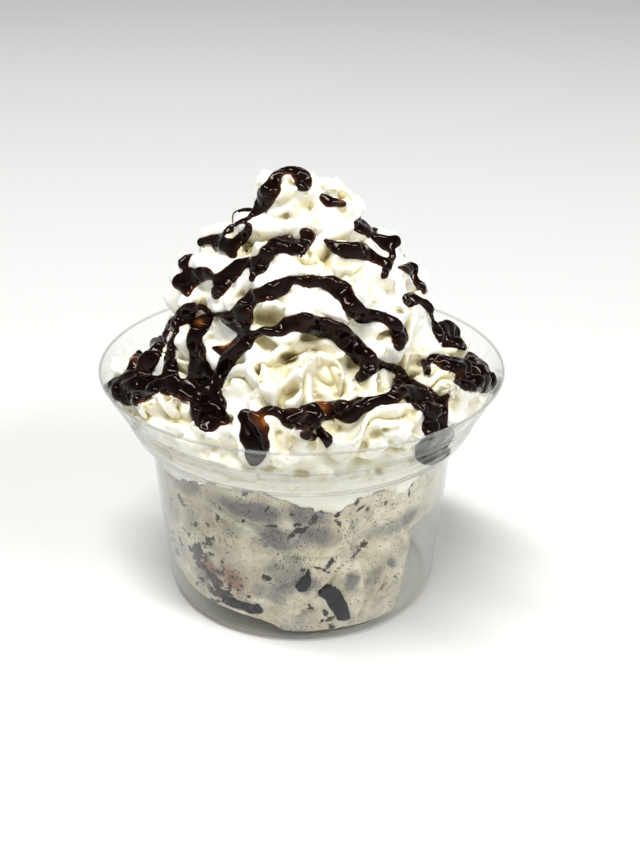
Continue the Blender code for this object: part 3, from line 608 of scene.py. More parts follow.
# Single folds: the points they run through, as x, y, height and half width
CREAM_FOLDS = {
    "tip_curl": [(4, 2, 94, 7.5), (0, -2, 98, 7.2), (-5, -3, 101, 6), (-8, -3, 104, 4.4),
        (-6.5, -3, 106.6, 1.6)],
    "tip_crown": [(-6, -2, 100.5, 4.6), (-3.5, -2, 102.8, 4.3), (0.5, -2, 102.0, 4.0),
        (5.5, -2, 99.5, 3.0)],
    "left_top_lump": [(-11, -4, 91, 5), (-15, -5, 92, 4.2), (-18, -5, 92, 3.0)],
    "tip_flap": [(0, 1, 97, 5.5), (6, -1, 99.5, 5.0), (11.5, -2, 97.5, 4.4), (14.5, -2, 95.0, 2.8)],
    "front_frill": [(-3, -22, 66, 8.5), (-4, -30, 63, 10.5), (-5, -36, 57, 9.5), (-5, -37, 52, 6)],
    "front_frill_right": [(8, -21, 65, 7), (9, -28, 62, 8.5), (10, -33, 56, 6)],
    "low_fold": [(8, -36, 58, 4.5), (15, -37, 60.5, 6), (22, -34.5, 60.5, 6), (28, -30, 60, 4.5)],
    "left_lump": [(-22, -32, 57, 5), (-29, -29, 58.5, 7), (-34, -24, 57, 5)],
    "right_lump": [(26, -22, 62, 5.5), (32, -21, 60, 7.5), (38, -16, 57.5, 5.5)],
    "right_rim_lump": [(37, -16, 52, 5), (41, -9, 53, 5.5), (43, -2, 53.5, 5), (42, 6, 53, 4)],
    "right_back_lump": [(31, 2, 60, 6), (36, 8, 57.5, 6), (38.5, 14, 55, 5)],
    "left_rim_lump": [(-36, -12, 54, 5), (-41, -6, 55.5, 5), (-42.5, 1, 55.5, 4.5), (-41.5, 8, 53.5, 4)],
}
FOLD_BOW = 1.2 * MM
FOLD_LOBES = 7
TIER_RIDGE = 0.16
FOLD_RIDGE = 0.20
# Each fold's two lips: how high and how far out they run, as shares of the fold's half width
FOLD_LIPS = ((0.62, 0.62), (-0.05, 0.90))
BACK_ROOM_AZIMUTHS = (42, 138)
BACK_ROOM_SPREAD = 34
BACK_ROOM_SHRINK = 0.32
BACK_ROOM_SHIFT = 3.0 * MM
ROPE_SIDES = 112
ROPE_RINGS = 64
RUFFLE_LENGTH = 8.5 * MM
CREAM_VOXEL = 0.40 * MM
MOST_TRIANGLES = 196000
LAYER_HEIGHTS = (62 * MM, 88 * MM)
GRAIN_DEPTH = 0.24 * MM
FRAY_PITCH = 0.9
FRAY_DEPTH = 0.5 * MM
PORES = {"whipped_cream_ring": 900, "whipped_cream_swirl": 420, "whipped_cream_curl": 120}
PORE_SIZES = (0.45 * MM, 1.1 * MM)
PORE_DEPTH = 0.9 * MM
WALL_PORES = 300
SHOULDER_FROM = 78 * MM
SHOULDER_TO = 90 * MM
SHOULDER_SQUEEZE = 0.13
SHADE_RAYS = 4
SHADE_REACH = 10.0 * MM
RIM_LEVEL = 59.0 * MM
EDGE_STEP = 1.2 * MM
AT_WALL = 0.3 * MM
FRONT_HALF = 10 * MM
# Lips drawn as they look from the viewpoint: how far each stands out and how deep its fold is, in
# millimetres, then where its line of sight crosses the cup's middle plane, as across and up
LIPS = {
    "front_frill": (3.0, 9.0, [(-19.1, 51.9), (-18.2, 55.7), (-15.7, 58.1), (-13.3, 58.1), (-11.3, 55.7),
        (-9.9, 53.3), (-7.7, 52.2), (-5.2, 53.3), (-3.2, 56.0), (-1.3, 57.3), (0.2, 55.2), (-0.3, 51.9),
        (-2.0, 49.4), (-4.5, 48.1)]),
    "frill_petal": (2.2, 9.0, [(-0.6, 52.6), (-0.1, 57.2), (2.0, 60.6), (5.2, 61.7), (8.3, 60.0),
        (10.0, 56.6), (9.6, 52.4)]),
    "frill_hollow": (1.0, 7.0, [(10.1, 54.1), (10.5, 58.9), (12.1, 61.9), (14.1, 60.6), (15.2, 57.3),
        (14.5, 53.8)]),
    "low_ruffle": (2.5, 7.0, [(5.0, 41.1), (7.0, 38.6), (10.1, 37.2), (12.8, 37.4), (14.8, 39.7),
        (15.5, 43.1), (17.2, 45.6), (20.1, 47.0), (23.8, 47.5), (27.3, 47.6), (29.6, 46.2), (28.0, 44.2)]),
    "low_ruffle_inner": (1.5, 5.0, [(16.2, 35.5), (17.4, 38.0), (20.1, 39.4), (23.6, 40.0), (27.6, 39.7),
        (31.2, 38.0)]),
    "left_lump_a": (2.0, 5.0, [(-40.3, 45.8), (-38.9, 48.8), (-36.4, 50.2), (-34.2, 48.6), (-34.2, 45.3)]),
    "left_lump_b": (2.5, 6.0, [(-33.8, 46.6), (-32.3, 48.9), (-29.3, 49.4), (-27.1, 47.5), (-26.2, 44.4),
        (-27.8, 41.9)]),
    "front_lump": (2.0, 5.0, [(-3.6, 36.9), (-2.8, 40.3), (-0.0, 41.4), (2.5, 40.0), (4.0, 36.9)]),
    "left_shelf": (1.0, 4.0, [(-21.2, 38.3), (-25.6, 40.8), (-30.1, 41.9), (-34.8, 41.9)]),
    "brow_lip": (2.0, 5.0, [(-14.2, 71.0), (-11.8, 73.8), (-8.2, 74.3), (-4.4, 73.1), (-0.5, 71.8),
        (3.8, 70.5), (8.1, 69.2), (12.5, 67.4)]),
    "right_lump_a": (2.0, 6.0, [(25.0, 56.8), (25.1, 60.3), (27.0, 61.9), (29.0, 60.9), (30.1, 57.4)]),
    "right_lump_b": (2.0, 6.0, [(31.1, 52.5), (32.9, 55.8), (36.3, 56.6), (38.0, 53.9), (37.4, 50.6)]),
    "mid_lip_left": (1.5, 5.0, [(-25.4, 74.3), (-23.2, 76.1), (-20.1, 75.1), (-16.8, 74.3), (-13.9, 76.1)]),
    "mid_lip_right": (1.5, 5.0, [(12.8, 77.9), (16.2, 75.9), (19.6, 74.4), (22.9, 74.4), (25.9, 72.1)]),
    "upper_lip": (1.5, 5.0, [(-1.0, 85.7), (3.7, 84.7), (8.0, 82.7), (12.2, 82.7), (16.9, 83.5)]),
    "upper_lip_left": (1.0, 4.0, [(-14.0, 84.1), (-10.6, 86.6), (-7.1, 85.6)]),
    "cap_lip": (1.5, 5.0, [(1.8, 100.9), (4.5, 102.3), (8.2, 102.6), (11.4, 101.2), (13.5, 98.8),
        (12.4, 96.4)]),
}
# Deep pockets between the folds, in the same measure: across, up, half width, half height, and depth
POCKETS = [
    (-8.2, 70.4, 4.4, 2.9, 6.0), (-3.3, 59.9, 2.9, 1.9, 5.0), (12.6, 58.3, 3.0, 3.8, 5.0),
    (-12.7, 88.1, 1.5, 2.0, 2.5), (20.9, 78.4, 2.6, 2.3, 1.2), (23.3, 72.2, 1.2, 1.2, 2.0),
    (11.3, 71.2, 0.9, 1.8, 2.5), (-9.6, 48.5, 3.5, 2.5, 1.8), (-22.6, 74.4, 3.8, 1.6, 1.2),
    (18.4, 39.2, 1.8, 2.6, 1.8), (-30.7, 47.3, 2.9, 1.9, 1.2),
]
FULL_POCKET = 6.0
# The section of a lip and the fold under it: outwards and downwards as shares of the fold's depth, and how
# fully the lip's waves reach there
LIP_SECTION = [
    (0.00, -0.02, 1.00), (0.12, 0.03, 1.00), (0.13, 0.14, 1.00), (0.05, 0.30, 0.90), (-0.06, 0.55, 0.75),
    (-0.25, 0.85, 0.50), (-0.50, 1.05, 0.20), (-0.85, 1.00, 0.00), (-1.10, 0.75, 0.00),
    (-1.05, 0.45, 0.20), (-0.70, 0.36, 0.50), (-0.36, 0.33, 0.90), (-0.20, 0.22, 1.00),
    (-0.11, 0.05, 1.00),
]
WAVE_LENGTH = 6.8 * MM
WAVE_DEPTH = 1.7 * MM


def smooth_path(points, count):
    """Evenly numbered points on a Catmull-Rom curve through the given ones."""
    given = np.array(points, dtype=float)
    padded = np.vstack([2 * given[0] - given[1], given, 2 * given[-1] - given[-2]])
    place = np.linspace(0, len(given) - 1, count)
    first = np.minimum(place.astype(int), len(given) - 2)
    t = (place - first)[:, None]
    a, b, c, d = (padded[first + i] for i in range(4))
    return 0.5 * (2 * b + (c - a) * t + (2 * a - 5 * b + 4 * c - d) * t**2 + (3 * b - a - 3 * c + d) * t**3)


def unit(vectors):
    """The vectors at length one."""
    return vectors / np.linalg.norm(vectors, axis=-1, keepdims=True)


def length_along(path):
    """How far along the path each of its points lies."""
    return np.concatenate([[0], np.cumsum(np.linalg.norm(np.diff(path, axis=0), axis=1))])


def star_rope(path, radii, lobes, depth, twist, start, frill, seed):
    """The rings of a piped rope: a star section whose ridges wave from side to side along the path."""
    along = unit(np.gradient(path, axis=0))
    outward = unit(path * [1, 1, 0]) + np.array([0, -0.05, 0.8])
    outward = unit(outward - along * np.sum(outward * along, axis=1, keepdims=True))
    aside = np.cross(along, outward)
    reach = length_along(path)[:, None]
    share = np.linspace(0, 1, len(path))[:, None]
    angle = np.linspace(0, 2 * np.pi, ROPE_SIDES, endpoint=False)[None, :]
    wave = np.sin(2 * np.pi * reach / RUFFLE_LENGTH + 2.2 * np.sin(angle + seed))
    wave += 0.5 * np.sin(2 * np.pi * reach / (0.61 * RUFFLE_LENGTH) + 3.0 * np.sin(2 * angle + 1.7 * seed))
    place = (angle + np.radians(start) + twist * share) * lobes + frill * wave
    ridge = 0.5 + 0.5 * np.cos(place)
    section = 1 + depth * (2 * ridge**1.4 - 0.8)
    buckle = 1 + 0.08 * np.sin(2 * np.pi * reach / (1.35 * RUFFLE_LENGTH) + 1.7 * np.sin(2 * angle + seed))
    size = radii[:, None] * section * buckle
    spread = np.cos(angle)[..., None] * outward[:, None] + np.sin(angle)[..., None] * aside[:, None]
    return path[:, None] + size[..., None] * spread


def lip_fold(path, depth, wave_depth, seed):
    """The rings of a fold under a wavy lip that follows the path."""
    out = unit(path * [1, 1, 0])
    along = unit(np.gradient(path, axis=0))
    reach = length_along(path)
    phase = 2 * np.pi * reach / WAVE_LENGTH + 1.1 * np.sin(2 * np.pi * reach / (2.7 * WAVE_LENGTH) + seed)
    swing = wave_depth * (out * np.sin(phase)[:, None] - 0.45 * along * np.sin(2 * phase)[:, None])
    share = np.linspace(0, 1, len(path))
    taper = np.clip(np.minimum(share, 1 - share) / 0.14 + 0.12, 0, 1)[:, None] ** 0.5
    rings = []
    for outwards, downwards, waving in LIP_SECTION:
        shift = depth * taper * (outwards * out - downwards * np.array([0, 0, 1]))
        rings.append(path + shift + waving * swing)
    return np.array(rings).transpose(1, 0, 2)


def back_room(azimuth):
    """How fully a direction lies in the free room at the back left and back right, from 0 to 1."""
    away = min(abs((azimuth - side + 180) % 360 - 180) for side in BACK_ROOM_AZIMUTHS)
    return math.exp(-((away / BACK_ROOM_SPREAD) ** 2))


def join_skins(skins):
    """Points and faces of closed skins over several sets of rings."""
    points, faces = [], []
    for rings in skins:
        base = len(points)
        skin_points, skin_faces = closed_skin(rings, rings[0].mean(0), rings[-1].mean(0))
        points += skin_points.tolist()
        faces += [[base + corner for corner in face] for face in skin_faces]
    return points, faces


def sight_line(tree, line, stand, flip=1.0):
    """Lays a line, drawn as it looks from the viewpoint, on a surface, standing out from it a little."""
    eye = Vector((EYE.x, EYE.y * flip, EYE.z))
    rays, reaches = [], []
    for across, up in line:
        ray = (Vector((across * flip, 0.0, up)) - eye).normalized()
        spot = tree.ray_cast(eye, ray)[0]
        rays.append(ray)
        reaches.append((spot - eye).length if spot else np.nan)
    reaches = np.array(reaches)
    known = np.flatnonzero(~np.isnan(reaches))
    reaches = np.interp(np.arange(len(reaches)), known, reaches[known])
    for _ in range(12):
        reaches[1:-1] = 0.5 * reaches[1:-1] + 0.25 * (reaches[:-2] + reaches[2:])
    return np.array([eye + ray * (reach - stand) for ray, reach in zip(rays, reaches)])


angles = np.linspace(0, 2 * np.pi, 96, endpoint=False)
heart = np.array([[(radius * MM * math.cos(a), radius * MM * math.sin(a), height * MM) for a in angles]
                  for radius, height in CREAM_HEART[1:-1]])
layers = {"whipped_cream_ring": [heart], "whipped_cream_swirl": [], "whipped_cream_curl": []}
tier_layers = ("whipped_cream_ring", "whipped_cream_swirl", "whipped_cream_swirl", "whipped_cream_curl")
draw = random.Random(7)
wave_draw = random.Random(19)
for tier, (count, first, ring, height, rope, span, rise) in enumerate(CREAM_TIERS):
    skins = layers[tier_layers[tier]]
    for number in range(count):
        middle = first + 360 * number / count + draw.uniform(-5, 5)
        room = back_room(middle) if tier == 0 else 0.0
        size = rope * draw.uniform(0.92, 1.06) * (1 - BACK_ROOM_SHRINK * room)
        lift = draw.uniform(-1.0, 1.0) * MM
        share = np.linspace(0, 1, ROPE_RINGS)
        out = ring + FOLD_BOW * np.sin(np.pi * share) - BACK_ROOM_SHIFT * room
        azimuth = np.radians(middle + span * (share - 0.5))
        climb = height + lift + rise * (share - 0.5)
        path = np.stack([out * np.cos(azimuth), out * np.sin(azimuth), climb], axis=1)
        radii = size * np.sin(np.pi * (0.05 + 0.90 * share)) ** 0.6
        twist, start = draw.uniform(0.4, 1.2), draw.uniform(0, 60)
        seed = 11 * tier + number
        skins.append(star_rope(path, 0.96 * radii, FOLD_LOBES, TIER_RIDGE, twist, start, 1.0, seed))
        for height_share, out_share in FOLD_LIPS:
            level = height_share + wave_draw.uniform(-0.15, 0.15)
            reach_out = unit(path * [1, 1, 0]) * (out_share * radii)[:, None]
            lip = path + reach_out + np.array([0, 0, 1]) * (level * radii)[:, None]
            lip = lip[6:-6] + [0, 0, 1.2 * MM] * np.sin(np.linspace(0, 5, ROPE_RINGS - 12))[:, None]
            waves = WAVE_DEPTH * wave_draw.uniform(0.6, 1.2)
            skins.append(lip_fold(smooth_path(lip[::3], 150), 0.42 * size, waves, wave_draw.uniform(0, 6)))


def layer_at(height):
    """The layer of cream that a fold or lip at this height belongs to."""
    names = list(layers)
    return names[int(np.digitize(height, LAYER_HEIGHTS))]


for number, fold in enumerate(CREAM_FOLDS.values()):
    course = smooth_path(fold, ROPE_RINGS) * MM
    nearest_end = np.minimum(np.arange(ROPE_RINGS), np.arange(ROPE_RINGS - 1, -1, -1))
    ends = np.minimum(1, nearest_end / 6 + 0.1) ** 0.5
    skins = layers[layer_at(course[:, 2].mean())]
    widths = course[:, 3] * ends
    skins.append(star_rope(course[:, :3], widths, FOLD_LOBES, FOLD_RIDGE, 0.6, 20, 1.0, 90 + number))
mound = BVHTree.FromPolygons(*join_skins(sum(layers.values(), [])))
for number, (stand, depth, line) in enumerate(LIPS.values()):
    path = sight_line(mound, smooth_path(line, 90) * MM, stand * MM)
    layers[layer_at(path[:, 2].mean())].append(lip_fold(path, depth * MM, 0.25 * MM, number))


def read_normals(mesh):
    """The directions that the mesh's points face."""
    flat = np.empty(len(mesh.vertices) * 3, dtype=np.float32)
    mesh.vertex_normals.foreach_get("vector", flat)
    return flat.reshape(-1, 3).astype(float)


def write_points(mesh, points):
    """Moves the mesh's points."""
    mesh.vertices.foreach_set("co", points.astype(np.float32).ravel())
    mesh.update()


def blurred(mesh, values, rounds):
    """The values at the mesh's points, each drawn again and again towards the mean of its neighbours."""
    ends = np.empty(len(mesh.edges) * 2, dtype=np.int32)
    mesh.edges.foreach_get("vertices", ends)
    first, second = ends.reshape(-1, 2).T
    count = np.bincount(ends, minlength=len(values))
    values = np.array(values, dtype=float)
    for _ in range(rounds):
        for column in range(values.shape[1]):
            total = np.bincount(first, values[second, column], len(values))
            total += np.bincount(second, values[first, column], len(values))
            values[:, column] = 0.4 * values[:, column] + 0.6 * total / count
    return values


def remeshed(piece, voxel, rounds):
    """Melts the piece's overlapping skins into one and thins the mesh out to at most MOST_TRIANGLES
    triangles.
    """
    only(piece)
    melt = piece.modifiers.new("melt", "REMESH")
    melt.mode = "VOXEL"
    melt.voxel_size = voxel
    bpy.ops.object.modifier_apply(modifier="melt")
    relax = piece.modifiers.new("relax", "SMOOTH")
    relax.factor = 0.5
    relax.iterations = rounds
    bpy.ops.object.modifier_apply(modifier="relax")
    triangles = sum(len(face.vertices) - 2 for face in piece.data.polygons)
    if triangles > MOST_TRIANGLES:
        thin_out = piece.modifiers.new("thin_out", "DECIMATE")
        thin_out.ratio = MOST_TRIANGLES / triangles
        bpy.ops.object.modifier_apply(modifier="thin_out")


def curdle(spot):
    """The small lumps and pits of aerated cream, in shares of their full height."""
    place = spot / MM
    lumps = noise.fractal(place * 0.30, 0.8, 2.2, 3)
    pits = noise.noise(place * 0.85 + Vector((9, 0, 0)))
    return lumps - max(0.0, pits - 0.42) * 2.2


def wall_limit(spots):
    """How far from the axis the cream may reach at each place, inside the cup and above it."""
    azimuths = np.degrees(np.arctan2(spots[:, 1], spots[:, 0]))
    edges = np.interp(azimuths, EDGE_AZIMUTHS, EDGE_LINE)
    most = wall_radius(spots[:, 2]) + PRESSED_IN
    most = np.where(spots[:, 2] < edges, most - EDGE_STEP, most)
    return np.where(spots[:, 2] > RIM_LEVEL, most + (spots[:, 2] - RIM_LEVEL) * 2, most)


def press_in(spots):
    """Brings what reaches past the wall back to it, and tells which points that were."""
    most = wall_limit(spots)
    distance = np.hypot(spots[:, 0], spots[:, 1])
    spots[:, :2] *= np.minimum(1, most / np.maximum(distance, 1e-6))[:, None]
    return distance > most - AT_WALL


def as_drawn(spots):
    """Where the lines of sight to these spots cross the cup's middle plane, as across and up."""
    from_eye = spots - np.array(EYE)
    on_plane = (np.array(EYE) + from_eye * (-EYE.y / from_eye[:, 1])[:, None]) / MM
    return on_plane[:, 0], on_plane[:, 2]


def pocket_shares(spots, normals):
    """How far into the pockets each front point lies, in millimetres of depth and as shares of a full one."""
    spots_across, spots_up = as_drawn(spots)
    depths, shares = np.zeros(len(spots)), np.zeros(len(spots))
    for across, up, wide, high, deep in POCKETS:
        away = np.hypot((spots_across - across) / wide, (spots_up - up) / high)
        inside = np.clip(1 - away**2.5, 0, 1)
        depths, shares = np.maximum(depths, deep * inside), np.maximum(shares, inside * deep / FULL_POCKET)
    front = (np.sum((spots - np.array(EYE)) * normals, axis=1) < 0) & (spots[:, 1] < FRONT_HALF)
    return np.where(front, depths, 0.0), np.where(front, shares, 0.0)


EDGE_AZIMUTHS = np.linspace(-180, 180, 721)
EDGE_LINE = np.array([edge_height(azimuth) for azimuth in EDGE_AZIMUTHS])
pore_draw = random.Random(31)
creams = []
for name, skins in layers.items():
    cream = add_piece(name, *join_skins(skins))
    remeshed(cream, CREAM_VOXEL, 1)
    spots = read_points(cream.data)
    normals = read_normals(cream.data)
    raised = np.clip((spots[:, 2] - SHOULDER_FROM) / (SHOULDER_TO - SHOULDER_FROM), 0, 1)
    spots[:, :2] *= (1 - SHOULDER_SQUEEZE * raised**2 * (3 - 2 * raised))[:, None]
    depths, shares = pocket_shares(spots, normals)
    spots += unit(spots - np.array(EYE)) * (depths * MM)[:, None]
    at_wall = press_in(spots)
    ridge = np.clip(np.sum((spots - blurred(cream.data, spots, 6)) * normals, axis=1) / (0.25 * MM), 0, 1)
    grain = np.array([curdle(Vector(spot)) for spot in spots])
    frayed = np.array([noise.noise(Vector(spot) / MM * FRAY_PITCH) for spot in spots])
    lift = (GRAIN_DEPTH * grain + FRAY_DEPTH * ridge * frayed) * (1 - 0.7 * shares)
    tree = KDTree(len(spots))
    for number, spot in enumerate(spots):
        tree.insert(spot, number)
    tree.balance()
    pore = np.zeros(len(spots))
    middles = [pore_draw.randrange(len(spots)) for _ in range(PORES[name])]
    pressed_points = np.flatnonzero(at_wall).tolist()
    if pressed_points:
        middles += pore_draw.choices(pressed_points, k=WALL_PORES)
    for middle in middles:
        size = pore_draw.uniform(*PORE_SIZES) * (1.3 if at_wall[middle] else 1.0)
        for _, number, away in tree.find_range(spots[middle], size):
            pore[number] = max(pore[number], 1 - (away / size) ** 2)
    lift = np.where(at_wall, 0.0, lift) - PORE_DEPTH * pore * np.where(at_wall, 0.5, 1.0)
    spots += normals * lift[:, None]
    press_in(spots)
    write_points(cream.data, spots)
    cream.data.shade_smooth()
    add_values(cream.data, "pressed", np.where(at_wall, 1.0, 0.0))
    add_values(cream.data, "pore", pore)
    add_values(cream.data, "pocket", blurred(cream.data, shares[:, None], 3)[:, 0])
    creams.append(cream)

# Painted shade: rays sent out from each point of the cream find how closely the cream around shuts it in. The
# material darkens and yellows the colour by that, as shade in creases and recesses.
shades = [(read_points(cream.data), [face.vertices[:] for face in cream.data.polygons]) for cream in creams]
cream_points = np.vstack([points for points, _ in shades])
cream_faces = []
for number, (_, faces) in enumerate(shades):
    before = sum(len(points) for points, _ in shades[:number])
    cream_faces += [[before + corner for corner in face] for face in faces]
cream_tree = BVHTree.FromPolygons(cream_points.tolist(), cream_faces)
shade_draw = np.random.default_rng(5)
for cream in creams:
    spots, normals = read_points(cream.data), read_normals(cream.data)
    covered = np.zeros(len(spots))
    for _ in range(SHADE_RAYS):
        aims = unit(normals + 0.95 * unit(shade_draw.normal(size=normals.shape)))
        starts = spots + normals * 0.12 * MM
        for number, (start, aim) in enumerate(zip(starts.tolist(), aims.tolist())):
            away = cream_tree.ray_cast(start, aim, SHADE_REACH)[3]
            if away is not None:
                covered[number] += 1 - away / SHADE_REACH
    hollow = blurred(cream.data, covered[:, None] / SHADE_RAYS, 8)[:, 0]
    add_values(cream.data, "hollow", hollow)

whipped_cream, tree, shader = finish("whipped_cream", Roughness=0.42, Subsurface_Weight=0.5,
                                     Subsurface_Scale=1.5 * MM, Subsurface_Radius=(1.0, 0.85, 0.55))
place = own_place(tree)
blotches = between(tree, mottle(tree, place, 240.0, 5.0), 0.50, 0.68)
# The cream's colour ramp is painted shade: from white it turns yellow and darker with that occlusion, in the
# pores and in the pockets. Where the cream is pressed on the wall it is yellower in blotches.
shade = stored(tree, "hollow") + stored(tree, "pore") * 0.12 + stored(tree, "pocket") * 0.16
shade = shade + stored(tree, "pressed") * (0.03 + blotches * 0.16)
feed(tree, shader, Normal=bumped(tree, mottle(tree, place, 620.0, 4.0), 0.3, 0.4 * MM), Base_Color=shaded(
    tree, shade, (0.0, (0.955, 0.942, 0.885)), (0.22, (0.90, 0.868, 0.725)), (0.45, (0.81, 0.755, 0.53)),
    (0.75, (0.66, 0.58, 0.34)), (1.0, (0.50, 0.42, 0.20))))
for cream in creams:
    cream.data.materials.append(whipped_cream)
    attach(cream, "root")
    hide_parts("whipped_cream")


